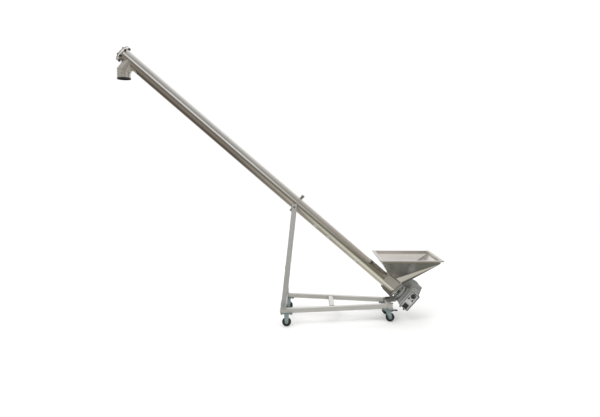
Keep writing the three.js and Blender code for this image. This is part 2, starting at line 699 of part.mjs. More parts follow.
function swivelFork(side) {
  const y = railPoint(SWIVEL_X - 20, side);
  const top = PLATE_TOP - RACE_DROP - GAP;
  const crown = rodZ(top - 7, top, 27, SWIVEL_X, y, 24);
  const bridge = block([SWIVEL_X - 12, y - FORK_INNER - 1, top - 7], [SWIVEL_X + 24, y + FORK_INNER + 1, top]);
  const wheelX = SWIVEL_X + TRAIL;
  const cheeks = forkCheeks(SWIVEL_X + 4, y, TRAIL - 4, top - 1, 46);
  const pedalPin = rodY(y - FORK_INNER - 1, y + FORK_INNER + 1, 3, SWIVEL_X + 21, top - 12, 12);
  return join(crown, bridge, ...cheeks, axle(wheelX, y), pedalPin);
}

// Foot lever on the fork's pin, standing out behind the wheel.
function brakePedal(side) {
  const y = railPoint(SWIVEL_X - 20, side);
  const z = PLATE_TOP - RACE_DROP - GAP - 12;
  const x = SWIVEL_X + 21;
  const arm = plateXZ([[x - 6, z - 5], [x + 12, z - 3], [x + 36, z + 5], [x + 60, z + 6], [x + 60, z + 10],
    [x + 34, z + 10], [x + 10, z + 4.2], [x - 6, z + 4.2]], y - 12, y + 12);
  const pad = block([x + 38, y - 17, z + 5], [x + 62, y + 17, z + 11]);
  return cut(join(arm, pad), rodY(y - 20, y + 20, 3 + GAP, x, z, 16));
}

function tyre(x, y) {
  const [h, r] = [TYRE_W / 2, WHEEL_R];
  const section = [[-h, 28], [-h, r - 5], [-h + 4, r], [h - 4, r], [h, r - 5], [h, 28]];
  return turned(section, 24).translate(x, y, WHEEL_R);
}

function wheelHub(x, y) {
  const h = TYRE_W / 2;
  return turned([[-h - 2, 5 + GAP], [-h - 2, 11], [-h + 4, 13], [-h + 4, 23], [-h + 1, 28 - 3 * GAP],
    [h - 1, 28 - 3 * GAP], [h - 4, 23], [h - 4, 13], [h + 2, 11], [h + 2, 5 + GAP]], 16)
    .translate(x, y, WHEEL_R);
}

// ---------------------------------------------------------------- leg frame and clamp

const clampPin = onConveyor(CLAMP_T, 0, CLAMP_PIN_N);

// Where a leg's centre line is, as a share of the way from its foot pin to its clamp pin.
function legPoint(share, side) {
  return [
    LEG_FOOT.x + (clampPin[0] - LEG_FOOT.x) * share,
    side * (LEG_FOOT.y + (LEG_TOP_Y - LEG_FOOT.y) * share),
    LEG_FOOT.z + (clampPin[2] - LEG_FOOT.z) * share,
  ];
}

function leg(side) {
  const over = LEG_REACH / (clampPin[2] - LEG_FOOT.z);
  const bar = barBetween(legPoint(-over, side), legPoint(1 + over, side));
  const [footX, footY, footZ] = legPoint(0, side);
  const footPin = rodY(footY - 60, footY + 60, PIN_R + GAP, footX, footZ, 12);
  const topY = side * LEG_TOP_Y;
  const topPin = rodY(topY - 45, topY + 45, PIN_R + GAP, clampPin[0], clampPin[2], 12);
  return cut(bar, footPin, topPin);
}

// Tie between the legs, square to neither, so its ends stop short of the leaning faces.
function legTie() {
  const [x, y, z] = legPoint(TIE_HEIGHT, 1);
  const lean = (LEG_FOOT.y - LEG_TOP_Y) / (clampPin[2] - LEG_FOOT.z);
  const reach = y - (BAR / 2) * Math.hypot(1, lean) - (BAR / 2) * lean - 0.6;
  return barBetween([x, -reach, z], [x, reach, z], [1, 0, 0]);
}

// Half of the hoop round the tube, with bolt ears above and below and a stub pin for the leg.
function clampHalf(side) {
  const outer = HOOP_R + HOOP_WALL;
  const gap = 2;
  const rim = arc([0, 0], outer, 90, 270, 16);
  const bore = arc([0, 0], HOOP_R, 270, 90, 16);
  const half = path2([...rim, ...bore]);
  const [x0, x1] = [CLAMP_T - HOOP_WIDTH / 2, CLAMP_T + HOOP_WIDTH / 2];
  const hoop = weld(new THREE.ExtrudeGeometry(half, { depth: HOOP_WIDTH, bevelEnabled: false }))
    .rotateX(Math.PI / 2).rotateZ(Math.PI / 2).translate(x0, 0, 0);
  const trim = block([x0 - 1, -gap, -outer - 5], [x1 + 1, outer + 5, outer + 5]);
  const ears = [[HOOP_R + 1, HOOP_R + 34], [-HOOP_R - 26, -HOOP_R - 1]].map(([n0, n1]) =>
    block([x0, -gap - 6, n0], [x1, -gap, n1]));
  const bossBlank = rodY(-HOOP_R - 4, -45, 14, CLAMP_T, CLAMP_PIN_N, 16);
  const boss = cut(bossBlank, rodX(x0 - 9, x1 + 9, HOOP_R, 0, 0, 32));
  const stub = rodY(-LEG_TOP_Y - 29, -HOOP_R - 2, PIN_R, CLAMP_T, CLAMP_PIN_N, 12);
  const bolt = rodY(-30, 30, 5 + GAP, CLAMP_T, HOOP_R + 22, 12);
  const near = cut(join(cut(hoop, trim), ...ears, boss, stub), bolt);
  return side < 0 ? near : weld(near).rotateZ(Math.PI).translate(2 * CLAMP_T, 0, 0);
}

// Cross bolt through the upper ears, with a bar head turned by hand.
function clampBolt() {
  const n = HOOP_R + 22;
  return join(
    rodY(-26, 26, 5, CLAMP_T, n, 12),
    rodY(-18, -8 - GAP, 9, CLAMP_T, n, 6),
    rodY(8 + GAP, 16, 9, CLAMP_T, n, 6),
  );
}

// ---------------------------------------------------------------- the assembly

add('conveyor_tube', conveyorTube(), polished, conveyor);
add('head_flange', ring(TUBE_TOP, TUBE_TOP + FLANGE_T, TUBE_R + GAP, FLANGE_R), brushed, conveyor);
add('head_cover', headCover(), brushed, conveyor);
add('head_bearing', headBearing(), castAlloy, conveyor);
add('discharge_spout', dischargeSpout(), brushed);
add('inlet_housing', inletHousing(), brushed, conveyor);
add('hopper', hopperShell(), brushed);
add('hopper_rim', hopperRim(), brushed);
add('tail_flange', ring(TUBE_END, TUBE_END + FLANGE_T, 40, FLANGE_R), brushed, conveyor);
add('bearing_lantern', lantern(), castAlloy, conveyor);
add('tilt_saddle', tiltSaddle(), brushed, conveyor);

add('gearbox_housing', gearboxHousing(), castAlloy, conveyor);
add('gearbox_cover', gearboxCover(), castAlloy, conveyor);
add('motor_body', motorBody(), castAlloy, conveyor);
add('fan_cover', fanCover(), darkPaint, conveyor);
add('terminal_box', terminalBox(), castAlloy, conveyor);

add('auger_screw', augerScrew(), polished, conveyor);
add('drive_shaft', driveShaft(), steel, conveyor);
add('worm_wheel', wormWheel(), bronze, conveyor);
add('motor_rotor', motorRotor(), steel, conveyor);
add('cooling_fan', coolingFan(), blackPlastic, conveyor);

add('control_box', controlBox(), castAlloy, conveyor);
add('control_face', controlFace(), faceMetal, conveyor);
add('speed_knob', speedKnob(), blackPlastic, conveyor);
add('speed_display', speedDisplay(), blackPlastic, conveyor);
for (const [name, place] of Object.entries(BUTTONS)) {
  add(name, pushButton(place), blackPlastic, conveyor);
}

add('wide_cross_tube', crossTube(RAIL_START.x + BAR / 2 + 2, innerReach(RAIL_START.x + BAR / 2 + 2)), brushed);
add('middle_cross_tube', crossTube(MID_BAR_X, innerReach(MID_BAR_X)), brushed);
add('narrow_cross_tube', crossTube(RAIL_END.x + BAR / 2 + 3.6, RAIL_END.y + BAR / 2), brushed);
add('pivot_bracket', pivotBracket(), brushed);
add('tilt_pin', headedPin(-TILT_PIN_Y, TILT_PIN_Y, pivotPlace[0], pivotPlace[2]), zinc);

for (const [place, side] of Object.entries(SIDES)) {
  add(`rail_${place}`, rail(side), brushed);
  add(`leg_socket_${place}`, legSocket(side), brushed);
  const footY = side * LEG_FOOT.y;
  add(`leg_pin_${place}`, headedPin(footY - 36, footY + 36, LEG_FOOT.x, LEG_FOOT.z), zinc);
  add(`leg_${place}`, leg(side), brushed);
  add(`clamp_half_${place}`, clampHalf(side), brushed, conveyor);

  const fixedY = railPoint(FIXED_X, side);
  add(`fixed_fork_${place}`, fixedFork(side), zinc);
  add(`fixed_tyre_${place}`, tyre(FIXED_X, fixedY), rubber);
  add(`fixed_hub_${place}`, wheelHub(FIXED_X, fixedY), greyPlastic);

  const swivelY = railPoint(SWIVEL_X - 20, side);
  add(`swivel_plate_${place}`, swivelPlate(side), zinc);
  add(`swivel_fork_${place}`, swivelFork(side), zinc);
  add(`swivel_tyre_${place}`, tyre(SWIVEL_X + TRAIL, swivelY), rubber);
  add(`swivel_hub_${place}`, wheelHub(SWIVEL_X + TRAIL, swivelY), greyPlastic);
  add(`brake_pedal_${place}`, brakePedal(side), blackPlastic);
}
add('leg_tie', legTie(), brushed);
add('clamp_bolt', clampBolt(), zinc, conveyor);

export default group;
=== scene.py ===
"""Looks of the inclined screw conveyor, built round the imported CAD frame. All lengths are in metres."""

import itertools
import json
import math
import random

import bmesh
import bpy
from mathutils import Matrix, Vector


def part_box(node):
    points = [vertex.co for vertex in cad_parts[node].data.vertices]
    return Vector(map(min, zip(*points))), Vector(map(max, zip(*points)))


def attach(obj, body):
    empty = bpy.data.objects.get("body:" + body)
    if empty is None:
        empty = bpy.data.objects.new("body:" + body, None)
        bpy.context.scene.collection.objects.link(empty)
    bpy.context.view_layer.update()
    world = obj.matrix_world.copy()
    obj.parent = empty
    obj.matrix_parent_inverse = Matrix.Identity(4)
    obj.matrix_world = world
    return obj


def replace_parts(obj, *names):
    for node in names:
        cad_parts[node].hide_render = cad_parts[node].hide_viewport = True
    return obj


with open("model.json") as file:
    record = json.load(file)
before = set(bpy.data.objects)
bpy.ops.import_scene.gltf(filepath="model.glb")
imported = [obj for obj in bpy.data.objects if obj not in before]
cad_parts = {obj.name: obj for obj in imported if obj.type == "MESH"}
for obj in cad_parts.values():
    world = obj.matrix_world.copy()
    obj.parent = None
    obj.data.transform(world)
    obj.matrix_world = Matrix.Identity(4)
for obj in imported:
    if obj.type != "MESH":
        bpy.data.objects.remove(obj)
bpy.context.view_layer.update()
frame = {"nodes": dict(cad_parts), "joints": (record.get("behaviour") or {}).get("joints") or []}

scene = bpy.context.scene
random.seed(7)

# ---------------------------------------------------------------- places from the frame

JOINTS = {j["name"]: j for j in frame["joints"]}
TAU = 2 * math.pi
UP = Vector((0, 0, 1))


def joint_place(name):
    return Vector(JOINTS[name]["pos_m"])


def basis(x, y, z, origin):
    return Matrix(((x.x, y.x, z.x, origin.x), (x.y, y.y, z.y, origin.y), (x.z, y.z, z.z, origin.z),
                   (0, 0, 0, 1)))


# Along the conveyor: local X runs down the tube towards the drive, local Z is square to it.
DOWN = Vector(JOINTS["screw_spin"]["axis"]).normalized()
ACROSS = Vector((0, 1, 0))
NORMAL = DOWN.cross(ACROSS)
SLOPE = math.atan2(-DOWN.z, DOWN.x)
TUBE = basis(DOWN, ACROSS, NORMAL, joint_place("screw_spin"))
TUBE_INV = TUBE.inverted()


def facing(origin, x, hint=UP):
    """A frame at origin whose local X points along x, with local Z as near to hint as it goes."""
    x = Vector(x).normalized()
    y = Vector(hint).cross(x)
    if y.length < 1e-6:
        y = ACROSS.cross(x)
    y.normalize()
    return basis(x, y, x.cross(y), Vector(origin))


def shift(x=0.0, y=0.0, z=0.0):
    return Matrix.Translation((x, y, z))


def turn(degrees, axis):
    return Matrix.Rotation(math.radians(degrees), 4, axis)


def around(count, radius, place, at=0.0, start=0.0):
    """Places on a circle round local X, the first one start degrees round."""
    return [place @ shift(at, radius * math.cos(a), radius * math.sin(a))
            for a in (math.radians(start) + TAU * i / count for i in range(count))]


def middle(node):
    lo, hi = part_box(node)
    return (lo + hi) / 2


# ---------------------------------------------------------------- dimensions shared with the frame

TUBE_R = 0.057
TUBE_WALL = 0.0025
TUBE_TOP = -3.185
TUBE_END = -0.070
BRANCH_T = -3.093
MITRE_N = -0.106
FLANGE_R = 0.075
FLANGE_T = 0.0085
GAP = 0.0003
LANTERN_FROM = TUBE_END + 0.0103
LANTERN_TO = -0.012
SMALL_FLANGE_R = 0.066
BOX_FROM, BOX_TO, BOX_HALF = 0.010, 0.118, 0.072
WORM_T, WORM_N = 0.064, 0.080
MOTOR_R = 0.069
MOTOR_Y = {"flange": 0.0723, "barrel": 0.084, "bell": 0.212, "cover": 0.282}
PANEL_T = (0.020, 0.112)
PANEL_N = (-0.075, 0.093)
PANEL_Y = {"back": -0.0723, "front": -0.137, "face": -0.140}
CLAMP_T = -1.215
CLAMP_PIN_N = -0.028
HOOP_R = 0.059
WHEEL_R = 0.038
FORK_INNER, FORK_OUTER = 0.0161, 0.0189
THROAT = {"t0": -0.200, "fold": -0.134, "t1": -0.076, "y": 0.048, "n": 0.062}
HOPPER_BAND = 0.027

# ---------------------------------------------------------------- materials


def node_tree(name):
    mat = bpy.data.materials.new(name)
    mat.use_nodes = True
    tree = mat.node_tree
    return mat, tree, tree.nodes["Principled BSDF"]


def add_node(tree, kind, **settings):
    node = tree.nodes.new(kind)
    for key, value in settings.items():
        setattr(node, key, value)
    return node


def coordinates(tree, scale=(1, 1, 1), rotation=(0, 0, 0)):
    where = add_node(tree, "ShaderNodeTexCoord")
    mapping = add_node(tree, "ShaderNodeMapping")
    mapping.inputs["Rotation"].default_value = rotation
    mapping.inputs["Scale"].default_value = scale
    tree.links.new(where.outputs["Object"], mapping.inputs["Vector"])
    return mapping.outputs["Vector"]


def noise(tree, vector, scale, detail=4.0, roughness=0.55):
    tex = add_node(tree, "ShaderNodeTexNoise")
    tex.inputs["Scale"].default_value = scale
    tex.inputs["Detail"].default_value = detail
    tex.inputs["Roughness"].default_value = roughness
    tree.links.new(vector, tex.inputs["Vector"])
    return tex.outputs["Fac"]


def ramp(tree, fac, stops):
    node = add_node(tree, "ShaderNodeValToRGB")
    elements = node.color_ramp.elements
    while len(elements) < len(stops):
        elements.new(0.5)
    for element, (at, colour) in zip(elements, stops):
        element.position = at
        element.color = (*colour, 1)
    tree.links.new(fac, node.inputs["Fac"])
    return node.outputs["Color"]


def spread(tree, fac, low, high):
    node = add_node(tree, "ShaderNodeMapRange")
    node.inputs["To Min"].default_value = low
    node.inputs["To Max"].default_value = high
    node.inputs["From Min"].default_value = 0.3
    node.inputs["From Max"].default_value = 0.7
    tree.links.new(fac, node.inputs["Value"])
    return node.outputs["Result"]



def paint(tree, shader, fac, stops, rough=None):
    """Colour, and roughness where it is given, that follow the same value."""
    tree.links.new(ramp(tree, fac, stops), shader.inputs["Base Color"])
    if rough:
        tree.links.new(spread(tree, fac, *rough), shader.inputs["Roughness"])


def bump(tree, shader, height, strength, distance=0.001, before=None):
    node = add_node(tree, "ShaderNodeBump")
    node.inputs["Strength"].default_value = strength
    node.inputs["Distance"].default_value = distance
    tree.links.new(height, node.inputs["Height"])
    if before is not None:
        tree.links.new(before, node.inputs["Normal"])
    tree.links.new(node.outputs["Normal"], shader.inputs["Normal"])
    return node.outputs["Normal"]


def brushed_metal(name, tones, rough, rotation=(0, 0, 0), lines=(3, 260, 260), depth=0.12, metallic=1.0):
    """Ground or satin metal: fine lines along local X after the rotation, with broad uneven patches."""
    mat, tree, shader = node_tree(name)
    shader.inputs["Metallic"].default_value = metallic
    grain = noise(tree, coordinates(tree, lines, rotation), 1.0, 6.0, 0.6)
    patches = noise(tree, coordinates(tree), 9.0, 5.0, 0.6)
    blend = add_node(tree, "ShaderNodeMix", data_type="FLOAT")
    blend.inputs["Factor"].default_value = 0.45
    tree.links.new(grain, blend.inputs["A"])
    tree.links.new(patches, blend.inputs["B"])
    mixed = blend.outputs["Result"]
    paint(tree, shader, mixed, list(zip((0.30, 0.52, 0.74), tones)), rough)
    fine = bump(tree, shader, grain, depth, 0.0004)
    bump(tree, shader, patches, 0.05, 0.001, fine)
    return mat


def shades(base, spread_by=0.12):
    return [tuple(c * (1 + spread_by * k) for c in base) for k in (-1, 0, 1)]


def polished_steel():
    """Mirror finish on the long tube, with faint drawing lines."""
    mat, tree, shader = node_tree("polished_stainless")
    shader.inputs["Metallic"].default_value = 1
    along = coordinates(tree, (1.2, 160, 160), (0, -SLOPE, 0))
    lines = noise(tree, along, 1.0, 5.0, 0.6)
    paint(tree, shader, lines, [(0.28, (0.66, 0.65, 0.62)), (0.5, (0.78, 0.77, 0.745)),
                                (0.75, (0.86, 0.855, 0.84))], (0.05, 0.11))
    return mat


def cast_metal(name, base, rough=(0.42, 0.62), grain=520.0, metallic=0.85):
    """Shot-blasted casting: fine pits, darker grime in the hollows of a broad noise."""
    mat, tree, shader = node_tree(name)
    shader.inputs["Metallic"].default_value = metallic
    vector = coordinates(tree)
    pits = noise(tree, vector, grain, 3.0, 0.7)
    grime = noise(tree, vector, 24.0, 6.0, 0.65)
    paint(tree, shader, grime, [(0.32, tuple(c * 0.72 for c in base)), (0.55, base),
                                (0.8, tuple(c * 1.12 for c in base))], rough[::-1])
    bump(tree, shader, pits, 0.35, 0.0006)
    return mat


def plastic(name, base, rough=(0.35, 0.55), grain=900.0, depth=0.12):
    mat, tree, shader = node_tree(name)
    vector = coordinates(tree)
    grit = noise(tree, vector, grain, 2.0, 0.6)
    wear = noise(tree, vector, 38.0, 5.0, 0.6)
    lighter = tuple(min(1, c * 1.35 + 0.012) for c in base)
    paint(tree, shader, wear, [(0.35, tuple(c * 0.8 for c in base)), (0.6, base), (0.85, lighter)], rough)
    bump(tree, shader, grit, depth, 0.0003)
    return mat


def tyre_rubber():
    """Black rubber, dusty grey on the tread from rolling."""
    mat, tree, shader = node_tree("tyre_rubber")
    vector = coordinates(tree)
    dust = noise(tree, vector, 60.0, 6.0, 0.7)
    grit = noise(tree, vector, 1400.0, 2.0, 0.5)
    paint(tree, shader, dust, [(0.35, (0.010, 0.011, 0.013)), (0.6, (0.020, 0.021, 0.024)),
                               (0.85, (0.060, 0.058, 0.055))], (0.6, 0.85))
    shader.inputs["Specular IOR Level"].default_value = 0.3
    bump(tree, shader, grit, 0.2, 0.0004)
    return mat


def heat_tinted_bead():
    """Weld bead: bright ripples with straw and blue heat colour beside them."""
    mat, tree, shader = node_tree("weld_bead")
    shader.inputs["Metallic"].default_value = 1
    shader.inputs["Roughness"].default_value = 0.34
    vector = coordinates(tree)
    tint = noise(tree, vector, 90.0, 3.0, 0.5)
    paint(tree, shader, tint, [(0.35, (0.40, 0.37, 0.34)), (0.5, (0.58, 0.55, 0.50)),
                               (0.62, (0.66, 0.58, 0.44)), (0.8, (0.50, 0.52, 0.58))])
    bump(tree, shader, noise(tree, vector, 700.0, 2.0, 0.5), 0.3, 0.0005)
    return mat


def display_glass():
    mat, tree, shader = node_tree("display_window")
    shader.inputs["Roughness"].default_value = 0.08
    shader.inputs["Coat Weight"].default_value = 0.6
    smear = noise(tree, coordinates(tree), 70.0, 4.0, 0.6)
    paint(tree, shader, smear, [(0.3, (0.012, 0.016, 0.014)), (0.7, (0.030, 0.036, 0.032))])
    return mat


LEVEL = (0, 0, 0)
ALONG_Y = (0, 0, math.radians(90))
UPRIGHT = (0, math.radians(90), 0)
SLOPED = (0, -SLOPE, 0)
SATIN = (0.66, 0.655, 0.63)
WARM = (0.66, 0.64, 0.60)

M = {
    "tube": polished_steel(),
    "rail": brushed_metal("rail_stainless", shades(SATIN, 0.09), (0.34, 0.46), metallic=0.62),
    "cross": brushed_metal("cross_tube_stainless", shades(SATIN, 0.09), (0.34, 0.46), ALONG_Y, metallic=0.5),
    "upright": brushed_metal("leg_stainless", shades((0.52, 0.52, 0.505), 0.09), (0.36, 0.48), UPRIGHT,
                             metallic=0.7),
    "sloped": brushed_metal("sloped_stainless", shades(WARM, 0.12), (0.22, 0.36), SLOPED, metallic=0.9),
    "plate": brushed_metal("plate_stainless", shades((0.55, 0.53, 0.49), 0.12), (0.30, 0.42), SLOPED,
                           metallic=0.7),
    "hopper": brushed_metal("hopper_sheet", shades((0.67, 0.645, 0.615), 0.14), (0.20, 0.28), LEVEL,
                            (3, 3, 120), 0.03),
    "turned": brushed_metal("turned_steel", shades((0.58, 0.58, 0.57), 0.12), (0.22, 0.36), SLOPED,
                            (320, 8, 8)),
    "zinc": brushed_metal("zinc_plate", shades((0.34, 0.44, 0.455), 0.14), (0.26, 0.42), LEVEL,
                          (40, 40, 40), 0.08, 0.6),
    "bolt": brushed_metal("bolt_steel", shades((0.56, 0.56, 0.55), 0.14), (0.18, 0.34), LEVEL,
                          (220, 220, 220), 0.1),
    "cast": cast_metal("cast_alloy", (0.40, 0.405, 0.39), metallic=0.35),
    # Head bolts: a darker copy of the bolt steel, painted shade standing for the dark surroundings they reflect.
    "dark_bolt": brushed_metal("bolt_steel_painted_shade", shades((0.13, 0.13, 0.125), 0.14), (0.3, 0.42), LEVEL,
                               (220, 220, 220), 0.1),
    # A lighter copy of the stainless for the head flange ring: painted highlight.
    "bright": brushed_metal("flange_painted_highlight", shades((0.84, 0.835, 0.82), 0.06), (0.30, 0.42), SLOPED,
                            (320, 8, 8), 0.08, 0.55),
    # A darker copy of the stainless for the tilt saddle and pivot bracket under the tube and drive: painted shade.
    "bracket": brushed_metal("bracket_painted_shade", shades((0.29, 0.27, 0.25), 0.16), (0.32, 0.46), SLOPED,
                             metallic=0.8),
    # Near-black stainless for the hopper's edge flanges: painted shade.
    "edge": brushed_metal("hopper_flange_painted_shade", shades((0.17, 0.17, 0.16), 0.1), (0.3, 0.4), LEVEL, metallic=0.6),
    "cast_dark": cast_metal("fan_cover_enamel", (0.10, 0.105, 0.10), (0.34, 0.5), 700.0, 0.3),
    "bronze": cast_metal("bronze", (0.45, 0.30, 0.12), (0.25, 0.4), 300.0, 1.0),
    "face": brushed_metal("face_plate", shades((0.50, 0.505, 0.50), 0.06), (0.36, 0.48), SLOPED,
                          (6, 300, 300), 0.08, 0.3),
    "rubber": tyre_rubber(),
    "hub": plastic("hub_plastic", (0.045, 0.052, 0.056)),
    "black": plastic("black_plastic", (0.020, 0.020, 0.020), (0.28, 0.45)),
    "label": plastic("label_film", (0.50, 0.50, 0.485), (0.3, 0.4), 400.0, 0.05),
    "ink": plastic("dial_ink", (0.03, 0.03, 0.03), (0.5, 0.6), 400.0, 0.05),
    "weld": heat_tinted_bead(),
    "glass": display_glass(),
}

# ---------------------------------------------------------------- mesh builders


def circle(radius, steps, start=0.0):
    return [(radius * math.cos(start + TAU * i / steps), radius * math.sin(start + TAU * i / steps))
            for i in range(steps)]


def arc(cx, cy, radius, start, end, steps):
    angles = [math.radians(start + (end - start) * i / steps) for i in range(steps + 1)]
    return [(cx + radius * math.cos(a), cy + radius * math.sin(a)) for a in angles]


def rounded(width, height, radius, steps=6):
    corners = [(1, 1, 0), (-1, 1, 90), (-1, -1, 180), (1, -1, 270)]
    return [p for sx, sy, start in corners
            for p in arc(sx * (width / 2 - radius), sy * (height / 2 - radius), radius, start,
                         start + 90, steps)]


def loop(bm, points, place=Matrix()):
    return [bm.verts.new(place @ Vector(p)) for p in points]


def skin(bm, rows, closed=False):
    """Faces from each loop of vertices to the next, and from the last to the first if closed."""
    for a, b in zip(rows, rows[1:] + rows[:1] * closed):
        for i in range(len(a)):
            j = (i + 1) % len(a)
            corners = list(dict.fromkeys([a[i], b[i], b[j], a[j]]))
            if len(corners) > 2:
                bm.faces.new(corners)


def solid(bm, rows):
    """A skin with both its ends shut."""
    bm.faces.new(rows[0])
    bm.faces.new(reversed(rows[-1]))
    skin(bm, rows)


def lathe(bm, profile, place=Matrix(), steps=96):
    """A closed profile of (along, radius) turned about local X. Points on the axis become poles."""
    rows = []
    for x, radius in profile:
        if radius < 1e-7:
            rows.append(loop(bm, [(x, 0, 0)], place) * steps)
        else:
            rows.append(loop(bm, [(x, y, z) for y, z in circle(radius, steps)], place))
    skin(bm, rows, True)


def sleeve(a, b, inner, outer):
    """The profile of a plain ring."""
    return [(a, inner), (a, outer), (b, outer), (b, inner)]


def prism(bm, outline, a, b, place=Matrix()):
    """A flat outline of (y, z) points, extruded along local X from a to b."""
    solid(bm, [loop(bm, [(x, y, z) for y, z in outline], place) for x in (a, b)])


def box(bm, lo, hi, place=Matrix()):
    prism(bm, [(lo[1], lo[2]), (hi[1], lo[2]), (hi[1], hi[2]), (lo[1], hi[2])], lo[0], hi[0], place)


def rod(bm, a, b, radius, place=Matrix(), steps=32, chamfer=0.0):
    c = chamfer
    profile = [(a, 0), (a, radius - c), (b, radius - c), (b, 0)]
    if c:
        profile[2:2] = [(a + c, radius), (b - c, radius)]
    lathe(bm, profile, place, steps)


def sweep(bm, path, radius_at, sides=10, closed=False):
    """A round bar along a list of points, its radius given by the share of the way."""
    rings = []
    count = len(path)
    for k, point in enumerate(path):
        before = path[k - 1] if (k or closed) else point
        after = path[(k + 1) % count] if (k + 1 < count or closed) else point
        ring = circle(radius_at(k / max(1, count - 1)), sides)
        rings.append(loop(bm, [(0, y, z) for y, z in ring], facing(point, after - before)))
    if closed:
        skin(bm, rings, True)
    else:
        solid(bm, rings)


def resample(path, count):
    """The same path as count steps of equal length."""
    lengths = [0.0]
    for a, b in zip(path, path[1:]):
        lengths.append(lengths[-1] + (b - a).length)
    points = []
    k = 0
    for i in range(count + 1):
        target = lengths[-1] * i / count
        while k < len(path) - 2 and lengths[k + 1] < target:
            k += 1
        span = lengths[k + 1] - lengths[k]
        points.append(path[k].lerp(path[k + 1], (target - lengths[k]) / span if span else 0))
    return points


def bead(bm, path, radius=0.0016, closed=False, pitch=0.0028):
    """A weld bead: a thin bar along the path with the ripples that a torch leaves."""
    length = sum((b - a).length for a, b in zip(path, path[1:]))
    steps = max(8, int(length / pitch * 2))
    points = resample(path + path[:1] * closed, steps)
    if closed:
        points = points[:-1]

    def thickness(share):
        fade = 1.0 if closed else min(1.0, 12 * share + 0.35, 12 * (1 - share) + 0.35)
        return radius * fade * (1 + 0.16 * math.cos(math.pi * share * steps))

    sweep(bm, points, thickness, 7, closed)


def hex_head(bm, place, across=0.013, height=0.0055, start=0.0):
    """A bolt head or nut on local X, its outer face chamfered."""
    corner = across / math.sqrt(3)
    solid(bm, [loop(bm, [(x, y, z) for y, z in circle(r, 6, start)], place)
               for x, r in ((0, corner), (height * 0.78, corner), (height, corner * 0.86))])


def bolt(bm, place, grip, size, stub, start):
    """Washer and head at local X = 0 looking back, then past the grip a washer, nut and thread end."""
    back, far = place @ turn(180, "Z"), place @ shift(grip)
    for seat, height, by in ((back, 0.66, 0.0), (far, 0.8, 0.3)):
        rod(bm, 0, size * 0.18, size * 1.05, seat, 24)
        hex_head(bm, seat @ shift(size * 0.18), size * 1.65, size * height, start + by)
    rod(bm, size * 0.7, size * 0.98 + stub, size * 0.48, far, 16, size * 0.08)


def cap_screw(bm, place, size=0.005):
    """Socket head on local X with its hexagon recess."""
    r, h = size * 0.85, size
    lathe(bm, [(0, 0), (0, r), (h * 0.85, r), (h, r * 0.9), (h, r * 0.55), (h * 0.45, r * 0.5),
               (h * 0.45, 0)], place, 18)


# ---------------------------------------------------------------- pieces


def piece(name, bm, kind, bevel=0.0, angle=35, segments=2, body="conveyor"):
    bmesh.ops.remove_doubles(bm, verts=bm.verts, dist=1e-6)
    bmesh.ops.recalc_face_normals(bm, faces=bm.faces)
    mesh = bpy.data.meshes.new(name)
    bm.to_mesh(mesh)
    bm.free()
    mesh.shade_smooth()
    mesh.set_sharp_from_angle(angle=math.radians(angle))
    obj = bpy.data.objects.new(name, mesh)
    scene.collection.objects.link(obj)
    mesh.materials.append(M[kind])
    soften(obj, bevel, segments)
    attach(obj, body)
    return obj


def turned(name, profile, kind, place=TUBE, steps=96, **finish):
    """A piece that is one turned profile."""
    bm = bmesh.new()
    lathe(bm, profile, place, steps)
    return piece(name, bm, kind, **finish)


def beads(name, *welds, body="conveyor"):
    """Weld beads as one piece, each given as (path, radius) or (path, radius, closed)."""
    bm = bmesh.new()
    for weld in welds:
        bead(bm, *weld)
    piece(name, bm, "weld", body=body)


def soften(obj, width, segments=2, limit=40):
    if not width:
        return
    edge = obj.modifiers.new("edge", "BEVEL")
    edge.width = width
    edge.segments = segments
    edge.limit_method = "ANGLE"
    edge.angle_limit = math.radians(limit)
    edge.harden_normals = True


def carve(obj, *cutters):
    """Cuts each bmesh out of the piece, whose edge bevel stays last."""
    for cutter in cutters:
        bmesh.ops.recalc_face_normals(cutter, faces=cutter.faces)
        mesh = bpy.data.meshes.new("cutter")
        cutter.to_mesh(mesh)
        cutter.free()
        tool = bpy.data.objects.new("cutter", mesh)
        scene.collection.objects.link(tool)
        step = obj.modifiers.new("cut", "BOOLEAN")
        step.operation = "DIFFERENCE"
        step.solver = "EXACT"
        step.object = tool
        with bpy.context.temp_override(object=obj, active_object=obj):
            bpy.ops.object.modifier_move_to_index(modifier=step.name, index=0)
            bpy.ops.object.modifier_apply(modifier=step.name)
        bpy.data.objects.remove(tool)
    return obj


def dress(kind, *names, bevel=0.0):
    """Gives CAD nodes their material and slightly rounded edges."""
    for name in names:
        node = frame["nodes"][name]
        node.data.materials.clear()
        node.data.materials.append(M[kind])
        soften(node, bevel, 2, 50)


# ---------------------------------------------------------------- camera, light and floor


def camera():
    data = bpy.data.cameras.new("camera")
    data.lens = 30.0
    data.sensor_width = 36.0
    obj = bpy.data.objects.new("camera", data)
    obj.location = (0.24865, -4.375, 1.348)
    obj.rotation_euler = (math.radians(90 - 4.875), 0, math.radians(0.801))
    scene.collection.objects.link(obj)
    scene.camera = obj


